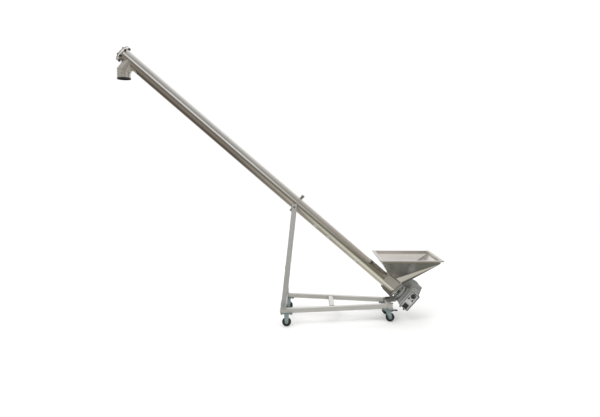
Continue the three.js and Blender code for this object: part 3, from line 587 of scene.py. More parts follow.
# What polished metal mirrors, by the angle round the tube's axis: 0 is straight at the viewer and
# positive is up.
HIGH_YARD = [
    (-180, (0.95, 0.95, 0.94)), (-140, (0.36, 0.34, 0.32)), (-104, (0.09, 0.07, 0.06)),
    (-78, (0.12, 0.10, 0.08)), (-55, (0.22, 0.19, 0.155)), (-36, (0.27, 0.24, 0.20)),
    (-20, (0.17, 0.15, 0.13)), (6, (0.22, 0.20, 0.19)), (14, (0.90, 0.88, 0.86)),
    (24, (0.88, 0.86, 0.84)), (34, (0.42, 0.41, 0.40)), (56, (0.34, 0.335, 0.33)),
    (78, (0.52, 0.51, 0.50)), (104, (0.72, 0.71, 0.70)), (140, (1.05, 1.05, 1.04)),
    (180, (0.95, 0.95, 0.94)),
]
LOW_YARD = [
    (-180, (0.95, 0.95, 0.94)), (-140, (0.66, 0.64, 0.58)), (-104, (0.58, 0.54, 0.45)),
    (-78, (0.46, 0.42, 0.34)), (-55, (0.82, 0.82, 0.76)), (-36, (0.80, 0.76, 0.64)),
    (-18, (0.30, 0.32, 0.22)), (0, (0.15, 0.145, 0.11)), (20, (0.19, 0.175, 0.14)),
    (40, (0.30, 0.265, 0.225)), (60, (0.39, 0.35, 0.30)), (90, (0.42, 0.375, 0.33)),
    (112, (0.48, 0.44, 0.39)), (140, (0.85, 0.83, 0.80)), (180, (0.95, 0.95, 0.94)),
]
UNDER_YARD = [
    (-180, (0.60, 0.59, 0.57)), (-150, (0.24, 0.25, 0.23)), (-120, (0.17, 0.18, 0.16)),
    (-80, (0.24, 0.24, 0.21)), (-40, (0.50, 0.48, 0.42)), (0, (0.35, 0.33, 0.29)),
    (60, (0.55, 0.54, 0.52)), (120, (0.95, 0.95, 0.94)), (180, (0.60, 0.59, 0.57)),
]

SKY = [
    (-180, (1.0, 1.0, 0.99)), (-140, (0.60, 0.59, 0.57)), (-80, (0.30, 0.29, 0.27)),
    (0, (0.45, 0.44, 0.42)), (35, (0.80, 0.79, 0.77)), (110, (0.98, 0.96, 0.94)), (180, (1.0, 1.0, 0.99)),
]


def yard():
    """White surroundings, but glossy rays see a sky, a yard and the shade below, in streaks along the tube."""
    world = bpy.data.worlds.new("studio")
    world.use_nodes = True
    tree = world.node_tree
    back = tree.nodes["Background"]
    where = add_node(tree, "ShaderNodeTexCoord").outputs["Generated"]

    def along(direction):
        node = add_node(tree, "ShaderNodeVectorMath", operation="DOT_PRODUCT")
        node.inputs[1].default_value = direction
        tree.links.new(where, node.inputs[0])
        return node.outputs["Value"]

    angle = add_node(tree, "ShaderNodeMath", operation="ARCTAN2")
    tree.links.new(along(NORMAL), angle.inputs[0])
    tree.links.new(along(-ACROSS), angle.inputs[1])

    def band(value, start, end):
        node = add_node(tree, "ShaderNodeMapRange")
        node.inputs["From Min"].default_value = start
        node.inputs["From Max"].default_value = end
        tree.links.new(value, node.inputs["Value"])
        return node.outputs["Result"]

    def blend(factor, a, b):
        node = add_node(tree, "ShaderNodeMix", data_type="RGBA")
        tree.links.new(factor, node.inputs["Factor"])
        tree.links.new(a, node.inputs["A"])
        if b is None:
            node.inputs["B"].default_value = (1, 1, 1, 1)
        else:
            tree.links.new(b, node.inputs["B"])
        return node.outputs["Result"]

    share = band(angle.outputs[0], -math.pi, math.pi)
    sky, high, low, under = [ramp(tree, share, [(a / 360 + 0.5, c) for a, c in stops])
                             for stops in (SKY, HIGH_YARD, LOW_YARD, UNDER_YARD)]
    lean = along(DOWN)
    above = blend(band(lean, -0.50, -0.36), sky, high)
    mirrored = blend(band(lean, 0.32, 0.62), blend(band(lean, -0.12, 0.22), above, low), under)
    path = add_node(tree, "ShaderNodeLightPath")
    plain = add_node(tree, "ShaderNodeMath", operation="SUBTRACT")
    plain.inputs[0].default_value = 1.0
    tree.links.new(path.outputs["Is Glossy Ray"], plain.inputs[1])
    tree.links.new(blend(plain.outputs[0], mirrored, None), back.inputs["Color"])
    back.inputs["Strength"].default_value = 1.04
    return world


def studio():
    floor = bpy.data.meshes.new("floor")
    half = 40.0
    floor.from_pydata([(-half, -half, 0), (half, -half, 0), (half, half, 0), (-half, half, 0)], [],
                      [(0, 1, 2, 3)])
    ground = bpy.data.objects.new("floor", floor)
    mat, _, shader = node_tree("studio_floor")
    shader.inputs["Base Color"].default_value = (0.97, 0.97, 0.965, 1)
    shader.inputs["Roughness"].default_value = 1
    shader.inputs["Specular IOR Level"].default_value = 0
    floor.materials.append(mat)
    scene.collection.objects.link(ground)
    ground.visible_glossy = False

    scene.world = yard()

    def lamp(name, place, look, size, power):
        data = bpy.data.lights.new(name, "AREA")
        data.shape = "RECTANGLE"
        data.size, data.size_y = size
        data.energy = power
        obj = bpy.data.objects.new(name, data)
        obj.location = place
        obj.rotation_euler = (Vector(look) - Vector(place)).to_track_quat("-Z", "Y").to_euler()
        obj.visible_glossy = False
        scene.collection.objects.link(obj)

    lamp("key", (-1.8, -3.2, 4.6), (0, 0, 1.0), (2.4, 1.6), 60)
    lamp("fill", (3.6, -2.4, 2.6), (0.6, 0, 0.5), (2.0, 2.0), 20)
    lamp("rim", (0.5, 4.0, 4.2), (0, 0, 1.0), (3.0, 1.2), 30)


# ---------------------------------------------------------------- conveyor tube and ends


def conveyor_tube():
    bm = bmesh.new()
    inner = TUBE_R - TUBE_WALL
    lathe(bm, [(TUBE_TOP, inner), (TUBE_END, inner), (TUBE_END, TUBE_R), (TUBE_TOP, TUBE_R)], TUBE, 128)
    tube = piece("tube_shell", bm, "tube")
    slot, outlet = bmesh.new(), bmesh.new()
    box(slot, (-0.188, -0.042, 0), (-0.086, 0.042, 0.07), TUBE)
    rod(outlet, 0, 0.07, 0.046, TUBE @ shift(BRANCH_T) @ turn(90, "Y"), 64)
    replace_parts(carve(tube, slot, outlet), "conveyor_tube")

    bm = bmesh.new()
    for t in (-2.04, -0.62):
        lathe(bm, [(t - 0.0016, TUBE_R - 0.0005), (t - 0.0012, TUBE_R + 0.0004),
                   (t + 0.0012, TUBE_R + 0.0004), (t + 0.0016, TUBE_R - 0.0005)], TUBE, 128)
    piece("tube_joint_seams", bm, "weld")


def rim_flange(t0, t1, inner):
    c = 0.0007
    return [(t0, inner), (t0, FLANGE_R - c), (t0 + c, FLANGE_R), (t1 - c, FLANGE_R), (t1, FLANGE_R - c),
            (t1, inner)]


def gasket(name, t):
    turned(name, sleeve(t - 0.0009, t + 0.0009, FLANGE_R - 0.004, FLANGE_R + 0.0006), "rubber")


def bolt_ring(name, seat, grip, radius, size, start, stub=0.004, kind="bolt"):
    bm = bmesh.new()
    for spot in around(6, radius, TUBE, seat, start):
        bolt(bm, spot, grip, size, stub, random.uniform(0, 1))
    piece(name, bm, kind)


def tube_arc(at, start=0, end=360, steps=72):
    """Points on the tube's skin, from start to end degrees round its axis."""
    return [TUBE @ Vector((at, y, z)) for y, z in arc(0, 0, TUBE_R + 0.0012, start, end, steps)]


def head_end():
    cover_to = TUBE_TOP - GAP
    cover_from = cover_to - FLANGE_T
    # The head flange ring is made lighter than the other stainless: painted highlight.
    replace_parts(turned("head_flange_ring", rim_flange(TUBE_TOP, TUBE_TOP + FLANGE_T, TUBE_R + 0.0001), "bright"),
                "head_flange")
    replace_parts(turned("head_cover_plate", rim_flange(cover_from, cover_to, 0.017), "plate"), "head_cover")
    # The head bolts take the darker bolt steel, which is painted shade.
    bolt_ring("head_flange_bolts", cover_from, 2 * FLANGE_T + GAP, 0.0665, 0.0095, 22, 0.006, "dark_bolt")
    gasket("head_gasket", TUBE_TOP - GAP / 2)

    seat = cover_from - GAP
    cup = [(0, 0.018), (0, 0.0372), (0.0062, 0.038), (0.0085, 0.0335), (0.012, 0.0300), (0.020, 0.0280),
           (0.0235, 0.0240), (0.024, 0.020), (0.024, 0), (0.019, 0), (0.019, 0.018)]
    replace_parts(turned("head_bearing_cup", [(seat - x, r) for x, r in cup], "cast", steps=64), "head_bearing")
    bm = bmesh.new()
    for spot in around(4, 0.0335, TUBE, seat - 0.0066, 45):
        cap_screw(bm, spot @ turn(180, "Z"), 0.0045)
    nipple = TUBE @ shift(seat - 0.016, 0, 0.0275) @ turn(-90, "Y")
    rod(bm, 0, 0.005, 0.0028, nipple, 6)
    rod(bm, 0.005, 0.009, 0.0019, nipple, 14, 0.0006)
    piece("head_bearing_screws", bm, "bolt")
    beads("head_flange_weld", (tube_arc(TUBE_TOP + FLANGE_T + 0.0006)[:-1], 0.0018, True))


SPOUT_STEPS = 96
MOUTH_DROP = 0.071
TOP_REACH = 0.100


def mitre_rings(radius):
    """Rings of the outlet pipe: its mouth, the mitre and the end that meets the tube."""
    mitre = TUBE @ Vector((BRANCH_T, 0, MITRE_N))
    flat = Vector((NORMAL.z, 0, -NORMAL.x))
    crease = (NORMAL + UP).normalized()
    rings = [[], [], []]
    for c, s in circle(radius, SPOUT_STEPS):
        rings[0].append(mitre + Vector((c, s, -MOUTH_DROP)))
        rings[1].append(mitre + Vector((c, s, -c * crease.x / crease.z)))
        top = mitre + flat * c + NORMAL * TOP_REACH
        rings[2].append(Vector((top.x, s, top.z)))
    return rings


def mouth_trim():
    """Rubber edging pushed over the mouth, with its sleeve inside the pipe."""
    mouth = TUBE @ Vector((BRANCH_T, 0, MITRE_N)) - UP * MOUTH_DROP
    inner = TUBE_R - TUBE_WALL
    turned("outlet_edging", [
        (-0.0015, inner - 0.0022), (-0.0015, TUBE_R + 0.0017), (0.0080, TUBE_R + 0.0019),
        (0.0088, TUBE_R + 0.0002), (0.0002, TUBE_R + 0.0002), (0.0002, inner - 0.0002),
        (0.034, inner - 0.0002), (0.034, inner - 0.0022)], "black", Matrix.Translation(mouth) @ turn(-90, "Y"))


def discharge_spout():
    bm = bmesh.new()
    skin(bm, [loop(bm, r) for r in mitre_rings(TUBE_R) + mitre_rings(TUBE_R - TUBE_WALL)[::-1]], True)
    spout = piece("outlet_pipe", bm, "sloped", angle=30)
    tube = bmesh.new()
    rod(tube, TUBE_TOP, TUBE_TOP + 0.4, TUBE_R + 0.0001, TUBE, 128)
    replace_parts(carve(spout, tube), "discharge_spout")

    saddle = []
    for x, y in circle(TUBE_R + 0.0012, SPOUT_STEPS):
        y = min(TUBE_R, max(-TUBE_R, y))
        depth = math.sqrt(max(0.0, (TUBE_R + 0.0005) ** 2 - y * y))
        saddle.append(TUBE @ Vector((BRANCH_T + x, y, -depth)))
    beads("outlet_welds", (mitre_rings(TUBE_R + 0.0002)[1], 0.0016, True), (saddle, 0.0017, True))
    mouth_trim()


# ---------------------------------------------------------------- inlet and hopper


def hopper_corners(inset=0.0):
    """Corners of the sheet at the rim, at the foot of its upright band and round the throat."""
    (x0, _, _), (x1, y1, top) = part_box("hopper")
    x0, x1, y = x0 + inset, x1 - inset, y1 - inset
    rim = [(x0, -y), (x1, -y), (x1, y), (x0, y)]
    t0, t1, w = THROAT["t0"] + inset, THROAT["t1"] - inset, THROAT["y"] - inset
    throat = [(t0, -w), (THROAT["fold"], -w), (t1, -w), (t1, w), (THROAT["fold"], w), (t0, w)]
    return ([Vector((*p, top)) for p in rim], [Vector((*p, top - HOPPER_BAND)) for p in rim],
            [TUBE @ Vector((*p, THROAT["n"])) for p in throat])


def hopper_faces(bm, inset):
    r, b, q = [loop(bm, points) for points in hopper_corners(inset)]
    skin(bm, [r, b])
    for face in ([b[0], b[1], q[1]], [b[0], q[1], q[0]], [b[1], q[2], q[1]], [b[1], b[2], q[3], q[2]],
                 [b[2], b[3], q[4]], [b[3], q[5], q[4]], [b[2], q[4], q[3]], [b[3], b[0], q[0], q[5]]):
        bm.faces.new(face)
    return r, q


def edge_flanges():
    """Strips hanging from the lower edges beside the sloping end, deeper towards the throat, in a dark colour that
    is painted shade.
    """
    _, band, throat = hopper_corners()
    bm = bmesh.new()
    for high, low, side in ((band[1], throat[2], -1), (band[2], throat[3], 1)):
        along = high - low
        inward = Vector((-side * along.y, side * along.x, 0)).normalized() * -0.002
        face = [low.lerp(high, share) + UP * rise
                for share, rise in ((0.06, 0.0010), (0.06, -0.024), (0.97, -0.003), (0.97, 0.0010))]
        solid(bm, [loop(bm, face), loop(bm, [p + inward for p in face])])
    piece("hopper_edge_flanges", bm, "edge", 0.0004)


def hopper():
    bm = bmesh.new()
    for outer, inner in zip(hopper_faces(bm, 0.0), hopper_faces(bm, 0.0018)):
        skin(bm, [outer, inner])
    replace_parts(piece("hopper_sheet_body", bm, "hopper", 0.0016, 8, 3), "hopper")
    edge_flanges()

    lo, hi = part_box("hopper_rim")
    x1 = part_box("hopper")[1].x
    outer, depth = hi.x - x1, lo.z - hi.z
    profile = [(0, 0), (outer, 0), (outer, depth), (outer - 0.002, depth), (outer - 0.002, -0.0022),
               (0, -0.0022)]
    rim, band, throat = hopper_corners()
    ways = [Vector(way) for way in ((-1, -1, 0), (1, -1, 0), (1, 1, 0), (-1, 1, 0))]
    bm = bmesh.new()
    skin(bm, list(zip(*[loop(bm, [(p.x + way.x * (out + GAP), p.y + way.y * (out + GAP), hi.z + down)
                                  for p, way in zip(rim, ways)]) for out, down in profile])), True)
    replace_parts(piece("hopper_folded_lip", bm, "plate", 0.0009, 30, 3), "hopper_rim")

    welds = []
    for top, low, way in zip(rim, band, ways):
        welds += [([top - UP * 0.004, low], 0.0012), ([top, top + way * 0.0245], 0.0009)]
    welds += [([band[a], throat[b]], 0.0014) for a, b in ((0, 0), (1, 2), (2, 3), (3, 5))]
    beads("hopper_welds", *welds, ([p - NORMAL * 0.0002 for p in throat], 0.0019, True))


def inlet_housing():
    dress("plate", "inlet_housing", bevel=0.0012)
    beads("inlet_welds", *[(tube_arc(t, -6, 186, 60), 0.0018) for t in (-0.2045, -0.0725)],
          *[([TUBE @ Vector((t, y, -0.0085)) for t in (-0.203, -0.074)], 0.0018) for y in (-0.0588, 0.0588)])


def tail_end():
    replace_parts(turned("tail_flange_ring", rim_flange(TUBE_END, TUBE_END + FLANGE_T, 0.040), "sloped"),
                "tail_flange")
    beads("tail_flange_weld", (tube_arc(TUBE_END - 0.0006, 186, 354), 0.0018))

    a, b, small = LANTERN_FROM, LANTERN_TO, SMALL_FLANGE_R
    carrier = turned("bearing_carrier", [
        (a, 0.034), (a, FLANGE_R - 0.0008), (a + 0.0008, FLANGE_R), (a + 0.0077, FLANGE_R),
        (a + FLANGE_T, FLANGE_R - 0.0008), (a + FLANGE_T, 0.048), (a + 0.0115, 0.0445), (b - 0.0100, 0.0445),
        (b - 0.007, 0.048), (b - 0.007, small - 0.0008), (b - 0.0062, small), (b - 0.0008, small),
        (b, small - 0.0008), (b, 0.034)], "cast", angle=30)
    windows = bmesh.new()
    box(windows, (a + FLANGE_T + 0.004, -0.06, -0.014), (b - 0.011, 0.06, 0.014), TUBE)
    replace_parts(carve(carrier, windows), "bearing_lantern")
    bolt_ring("tail_flange_bolts", TUBE_END, 2 * FLANGE_T + 0.0018, 0.0662, 0.0090, 30)
    gasket("tail_gasket", TUBE_END + FLANGE_T + 0.0009)
    bolt_ring("gearbox_flange_bolts", b - 0.007, 0.0155, 0.0575, 0.0085, 30, 0.002)

    # The tilt saddle under the tube takes the darker bracket stainless: painted shade.
    dress("bracket", "tilt_saddle", bevel=0.0008)
    beads("saddle_welds", *[
        ([TUBE @ Vector((t, side * y, n)) for t in ends], radius) for side in (-1, 1) for y, n, ends, radius in
        ((0.0358, -0.0457, (-0.166, -0.079), 0.0018), (0.0285, -0.0687, (-0.159, -0.082), 0.0015))])


# ---------------------------------------------------------------- screw


def auger():
    """Shaft tube with one flight, whose outer edge is a little thinner, as a rolled flight is."""
    start, end = -3.176, -0.076
    pitch, steps, turns = 0.100, 40, 30
    shaft_r, flight_r = 0.021, 0.050
    bm = bmesh.new()
    rows = []
    for k in range(turns * steps + 1):
        c, s = math.cos(TAU * k / steps), math.sin(TAU * k / steps)
        t = start + pitch / 2 + pitch * k / steps
        rows.append(loop(bm, [(t + x, r * c, r * s) for x, r in (
            (-0.0016, shaft_r - 0.001), (-0.0010, flight_r), (0.0010, flight_r), (0.0016, shaft_r - 0.001))],
            TUBE))
    solid(bm, rows)
    rod(bm, start, end, shaft_r, TUBE, 48, 0.001)
    rod(bm, TUBE_TOP - FLANGE_T - 0.014, start + 0.005, 0.015, TUBE, 40, 0.001)
    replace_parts(piece("screw_and_shaft", bm, "sloped", angle=50, body="screw"), "auger_screw")


# ---------------------------------------------------------------- drive


WORM = TUBE @ shift(WORM_T, 0, WORM_N) @ turn(90, "Z")


def wheel_chamber():
    bm = bmesh.new()
    rod(bm, BOX_FROM + 0.012, BOX_TO + 0.01, 0.062, TUBE, 64)
    return bm


def gearbox():
    half = BOX_HALF
    bm = bmesh.new()
    prism(bm, rounded(2 * half, 2 * half, 0.022, 8), BOX_FROM, BOX_TO, TUBE)
    body = piece("gearbox_casting", bm, "cast", 0.0022, 30, 3)
    shaft_bore, worm_bore = bmesh.new(), bmesh.new()
    rod(shaft_bore, BOX_FROM - 0.01, BOX_FROM + 0.02, 0.018, TUBE, 64)
    rod(worm_bore, -half + 0.008, half + 0.01, 0.024, WORM, 48)
    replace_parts(carve(body, wheel_chamber(), worm_bore, shaft_bore), "gearbox_housing")
    barrel = turned("worm_barrel", [
        (-half, 0), (-half, 0.030), (-half + 0.003, 0.034), (-half + 0.012, 0.0355), (half - 0.012, 0.0355),
        (half - 0.010, 0.040), (half, 0.040), (half, 0.024), (-half + 0.008, 0.024), (-half + 0.008, 0)],
        "cast", WORM, 72, angle=30)
    carve(barrel, wheel_chamber())

    neck, rim = LANTERN_TO + GAP, SMALL_FLANGE_R
    turned("gearbox_output_flange", [
        (neck, 0.018), (neck, rim - 0.001), (neck + 0.001, rim), (neck + 0.0075, rim),
        (neck + 0.0085, rim - 0.001), (neck + 0.0085, 0.054), (neck + 0.014, 0.050),
        (BOX_FROM + 0.004, 0.053), (BOX_FROM + 0.004, 0.018)],
        "cast", angle=30)

    bm = bmesh.new()
    for i in range(8):
        prism(bm, [(-0.0028, 0.036), (0.0028, 0.036), (0.0024, 0.0695), (-0.0024, 0.0695)],
              BOX_FROM - 0.0045, BOX_FROM + 0.002, TUBE @ turn(22.5 + 45 * i, "X"))
    for n in (-0.052, -0.034, -0.016, 0.002, 0.020):
        for y0, y1 in ((-half - 0.0045, -half + 0.002), (half - 0.002, half + 0.0045)):
            box(bm, (BOX_FROM + 0.012, y0, n - 0.0016), (BOX_TO - 0.012, y1, n + 0.0016), TUBE)
    piece("gearbox_ribs", bm, "cast", 0.0008)

    seat = BOX_TO + GAP
    cover = [(0, 0), (0, 0.0668), (0.001, 0.068), (0.0055, 0.068), (0.0075, 0.0625), (0.008, 0.036),
             (0.0125, 0.0315), (0.014, 0.029), (0.014, 0)]
    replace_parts(turned("gearbox_end_cover", [(seat + x, r) for x, r in cover], "cast", angle=30),
                "gearbox_cover")
    bm = bmesh.new()
    for spot in around(8, 0.0592, TUBE, seat + 0.0062, 22.5):
        cap_screw(bm, spot, 0.0055)
    for y in (0.050, -0.050):
        hex_head(bm, TUBE @ shift(0.040, y, -half) @ turn(90, "Y"), 0.012, 0.006)
    vent = TUBE @ shift(WORM_T - 0.020, -0.045, WORM_N + 0.028) @ turn(-90, "Y")
    hex_head(bm, vent @ shift(-0.002), 0.013, 0.007)
    rod(bm, 0.005, 0.012, 0.0035, vent, 20, 0.001)
    piece("gearbox_screws", bm, "bolt")


def worm_gear():
    place = TUBE @ shift(WORM_T)
    teeth, root, tip = 40, 0.0515, 0.0565
    outline = []
    for i in range(teeth):
        for share, r in ((0.0, root), (0.30, root), (0.42, tip), (0.60, tip), (0.72, root)):
            a = TAU * (i + share) / teeth
            outline.append((r * math.cos(a), r * math.sin(a)))
    bm = bmesh.new()
    prism(bm, outline, -0.013, 0.013, place)
    lathe(bm, [(-0.040, 0.0153), (-0.040, 0.028), (0.050, 0.028), (0.050, 0.0153)], place, 48)
    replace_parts(piece("bronze_worm_wheel", bm, "bronze", body="screw"), "worm_wheel")
    dress("turned", "drive_shaft")


def motor():
    flange, barrel, bell, cover = [MOTOR_Y[part] for part in ("flange", "barrel", "bell", "cover")]
    bm = bmesh.new()
    lathe(bm, [(flange, 0.024), (flange, 0.0865), (flange + 0.0015, 0.088), (barrel - 0.002, 0.088),
               (barrel - 0.0005, 0.0865), (barrel, 0.066), (barrel + 0.012, 0.0625), (bell - 0.004, 0.0625),
               (bell + 0.004, 0.066), (bell + 0.010, 0.058), (bell + 0.010, 0.011), (bell - 0.004, 0.011),
               (bell - 0.004, 0.044), (barrel + 0.004, 0.044), (barrel + 0.004, 0.024)], WORM, 96)
    for a in range(0, 360, 9):
        under_terminal_box = 3 < (a + 70) % 360 < 76
        if not under_terminal_box:
            box(bm, (barrel + 0.010, -0.0013, 0.060), (bell - 0.002, 0.0013, MOTOR_R), WORM @ turn(a, "X"))
    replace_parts(piece("motor_finned_body", bm, "cast", 0.0006, 30), "motor_body")

    bm = bmesh.new()
    for spot in around(4, 0.0765, WORM, barrel, 45):
        hex_head(bm, spot, 0.013, 0.0065)
    for spot in around(4, 0.0655, WORM, bell + 0.002, 20):
        rod(bm, 0, 0.006, 0.0032, spot, 16, 0.0006)
    piece("motor_screws", bm, "bolt")

    r = MOTOR_R + 0.001
    shell = turned("fan_cowl", [
        (bell + 0.003, r - 0.0025), (bell + 0.003, r), (cover - 0.010, r), (cover - 0.004, r - 0.002),
        (cover, r - 0.008), (cover, 0.0), (cover - 0.0025, 0.0), (cover - 0.0025, r - 0.010),
        (cover - 0.010, r - 0.0025)], "cast_dark", WORM, angle=30)
    slots = bmesh.new()
    for ring, count in ((0.018, 6), (0.031, 10), (0.044, 14), (0.056, 18)):
        outline = [(p, q + ring) for p, q in rounded(0.0105, 0.0066, 0.0032, 4)]
        for i in range(count):
            prism(slots, outline, cover - 0.006, cover + 0.006,
                  WORM @ turn(360 * (i + 0.5 * (count % 4)) / count, "X"))
    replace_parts(carve(shell, slots), "fan_cover")

    bm = bmesh.new()
    hub_from, hub_to = bell + 0.016, bell + 0.040
    lathe(bm, [(hub_from, 0.0093), (hub_from, 0.060), (hub_from + 0.002, 0.060), (hub_from + 0.003, 0.018),
               (hub_to, 0.016), (hub_to, 0.0093)], WORM, 64)
    for i in range(7):
        box(bm, (hub_from + 0.001, -0.0011, 0.015), (hub_to - 0.002, 0.0011, 0.058),
            WORM @ turn(360 * i / 7, "X"))
    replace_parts(piece("fan_wheel", bm, "black", body="rotor"), "cooling_fan")
    dress("turned", "motor_rotor")


def terminal_box():
    lean = TUBE @ shift(WORM_T, 0, WORM_N) @ turn(-20, "Y")
    inner, outer = MOTOR_R - 0.002, MOTOR_R + 0.033
    outline = [(y + 0.154, z) for y, z in rounded(0.092, 0.088, 0.008, 5)]
    bm = bmesh.new()
    prism(bm, outline, inner, outer, lean)
    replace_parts(piece("terminal_box_body", bm, "cast", 0.0012, 30), "terminal_box")
    bm = bmesh.new()
    prism(bm, outline, outer + 0.0008, outer + 0.0065, lean)
    piece("terminal_box_lid", bm, "cast", 0.0016, 30)
    bm = bmesh.new()
    for y, z in itertools.product((0.117, 0.191), (-0.036, 0.036)):
        cap_screw(bm, lean @ shift(outer + 0.0058, y, z), 0.0045)
    piece("terminal_box_screws", bm, "bolt")
    glands("terminal_box_glands", 0.008, [lean @ shift(MOTOR_R + 0.017, y, -0.044) for y in (0.136, 0.172)])


def glands(name, size, seats):
    """Cable glands pointing down from their seats, closed by blanking plugs."""
    bm = bmesh.new()
    for seat in seats:
        place = seat @ turn(90, "Y")
        hex_head(bm, place, size * 2.4, size * 0.5)
        lathe(bm, [(size * x, size * r) for x, r in (
            (0.5, 0), (0.5, 1.05), (1.5, 1.0), (1.9, 0.75), (1.9, 0.5), (1.6, 0.45), (1.6, 0))], place, 24)
    piece(name, bm, "black")


# ---------------------------------------------------------------- control box


def panel_point(t, n, depth=0.0):
    """A frame on the face plate whose local X points out of it, at the viewer."""
    return basis(-ACROSS, -DOWN, NORMAL, TUBE @ Vector((t, PANEL_Y["face"] - depth, n)))


def control_box():
    (t0, t1), (n0, n1) = PANEL_T, PANEL_N
    width, height = t1 - t0, n1 - n0
    middle_t, middle_n = (t0 + t1) / 2, (n0 + n1) / 2
    centre = TUBE @ shift(middle_t, 0, middle_n) @ turn(90, "Z")
    outline = rounded(width, height, 0.006)
    bm = bmesh.new()
    prism(bm, outline, PANEL_Y["front"], PANEL_Y["back"] - 0.004, centre)
    shell = piece("control_box_shell", bm, "cast", 0.0012, 30)
    room = bmesh.new()
    prism(room, rounded(width - 0.006, height - 0.006, 0.004, 5), PANEL_Y["front"] - 0.01,
          PANEL_Y["back"] - 0.007, centre)
    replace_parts(carve(shell, room), "control_box")

    bm = bmesh.new()
    prism(bm, outline, PANEL_Y["face"], PANEL_Y["front"] - GAP, centre)
    plate = piece("control_face_plate", bm, "face", 0.0006, 30)
    holes = bmesh.new()
    for node, radius in (("start_button", 0.0063), ("stop_button", 0.0063), ("speed_knob", 0.0053)):
        spot = TUBE_INV @ middle(node)
        rod(holes, -0.01, 0.01, radius, panel_point(spot.x, spot.z), 32)
    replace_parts(carve(plate, holes), "control_face")

    bm = bmesh.new()
    outer = rounded(width - 0.0100, height - 0.0100, 0.005, 5)
    inner = rounded(width - 0.0220, height - 0.0220, 0.0025, 5)
    skin(bm, [loop(bm, [(x, y, z) for y, z in line], panel_point(middle_t, middle_n))
              for x, line in ((0, outer), (0.0004, outer), (0.0004, inner), (0, inner))], True)
    piece("face_border", bm, "ink")

    knob = TUBE_INV @ middle("speed_knob")
    face_dial(knob.x, knob.z)
    speed_knob(knob.x, knob.z)
    for name in ("start_button", "stop_button"):
        push_button(name)
    display()

    bm = bmesh.new()
    for dt, dn in itertools.product((-1, 1), repeat=2):
        spot = panel_point(middle_t + dt * (width / 2 - 0.0075), middle_n + dn * (height / 2 - 0.0075))
        cap_screw(bm, spot, 0.0036)
    piece("face_plate_screws", bm, "bolt")
    glands("control_box_glands", 0.0075, [TUBE @ shift(middle_t + dt, -0.104, n0) for dt in (-0.020, 0.020)])
    bm = bmesh.new()
    for dn in (-0.045, 0.045):
        box(bm, (middle_t - 0.020, PANEL_Y["back"] - 0.006, middle_n - 0.018 + dn - 0.012),
            (middle_t + 0.020, -BOX_HALF - 0.0002, middle_n - 0.018 + dn + 0.012), TUBE)
    piece("control_box_brackets", bm, "plate", 0.0008)


DIAL_DEGREES = 280


def face_dial(t, n):
    """Scale round the knob: eleven ticks over its turn, numbered at both ends and in the middle."""
    bm = bmesh.new()
    for i in range(11):
        box(bm, (0, 0.0250, -0.0005), (0.0004, 0.0275 if i % 5 else 0.0290, 0.0005),
            panel_point(t, n) @ turn(90 + DIAL_DEGREES * (0.5 - i / 10), "X"))
    piece("dial_ticks", bm, "ink")
    radius = 0.0325
    for label, share in (("0", 0.0), ("5", 0.5), ("10", 1.0)):
        a = math.radians(90 + DIAL_DEGREES * (0.5 - share))
        data = bpy.data.curves.new("dial_number_" + label, "FONT")
        data.body = label
        data.size = 0.0065
        data.extrude = 0.0002
        data.align_x = data.align_y = "CENTER"
        obj = bpy.data.objects.new("dial_number_" + label, data)
        spot = TUBE @ Vector((t + radius * math.cos(a), PANEL_Y["face"] - 0.0003, n + radius * math.sin(a)))
        obj.matrix_world = basis(DOWN, NORMAL, -ACROSS, spot)
        scene.collection.objects.link(obj)
        data.materials.append(M["ink"])
        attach(obj, "conveyor")


def speed_knob(t, n):
    """Knob with a fluted skirt. The profile is (along, radius, share of the flutes' depth)."""
    place = panel_point(t, n, 0.001)
    r, steps, flutes, depth = 0.0215, 144, 24, 0.0011
    bm = bmesh.new()
    rows = []
    for x, radius, fluted in ((0, 0, 0), (0, r, 0), (0.0025, r + 0.0002, 0), (0.004, r - 0.0006, 1),
                              (0.015, r - 0.0026, 1), (0.0182, r - 0.0046, 0.6), (0.019, r - 0.0075, 0),
                              (0.0176, r - 0.0095, 0), (0.0172, 0, 0)):
        ring = []
        for c, s in circle(1, steps):
            cut = fluted * depth * (0.5 + 0.5 * math.cos(flutes * math.atan2(s, c)))
            ring.append((x, (radius - cut) * c, (radius - cut) * s))
        rows.append(loop(bm, ring, place))
    skin(bm, rows)
    rod(bm, -0.016, 0.001, 0.005, place, 24)
    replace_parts(piece("speed_knob_grip", bm, "black", angle=30, body="knob"), "speed_knob")
    bm = bmesh.new()
    box(bm, (0.0172, -0.0007, 0.003), (0.0180, 0.0007, 0.0115), place)
    piece("knob_pointer", bm, "label", body="knob")


def push_button(name):
    spot = TUBE_INV @ middle(name)
    out = PANEL_Y["face"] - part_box(name)[0].y
    place = panel_point(spot.x, spot.z)
    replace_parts(turned(name + "_cap", [
        (-0.012, 0), (-0.012, 0.0075), (-0.0085, 0.0075), (-0.0085, 0.006), (out - 0.001, 0.006),
        (out - 0.0002, 0.0052), (out, 0.0038), (out - 0.0006, 0)], "black", place, 40, body=name), name)
    turned(name + "_collar", [(0.0002, 0.0064), (0.0002, 0.0088), (0.0012, 0.0088), (0.0018, 0.0080),
                              (0.0018, 0.0064)], "bolt", place, 40)


def display():
    spot = TUBE_INV @ middle("speed_display")
    place = panel_point(spot.x, spot.z)
    raised = place @ shift(0, 0, 0.002)
    bm = bmesh.new()
    prism(bm, rounded(0.044, 0.044, 0.003, 5), 0.0002, 0.0062, place)
    case = piece("display_bezel", bm, "black", 0.0008, 30)
    window = bmesh.new()
    prism(window, rounded(0.034, 0.026, 0.0015, 4), 0.0042, 0.02, raised)
    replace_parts(carve(case, window), "speed_display")
    bm = bmesh.new()
    prism(bm, rounded(0.0338, 0.0258, 0.0014, 4), 0.0030, 0.0047, raised)
    piece("display_window", bm, "glass", 0.0002)
    bm = bmesh.new()
    prism(bm, rounded(0.052, 0.026, 0.002, 4), 0.0001, 0.0005, panel_point(0.066, -0.003))
    piece("blank_label", bm, "label")


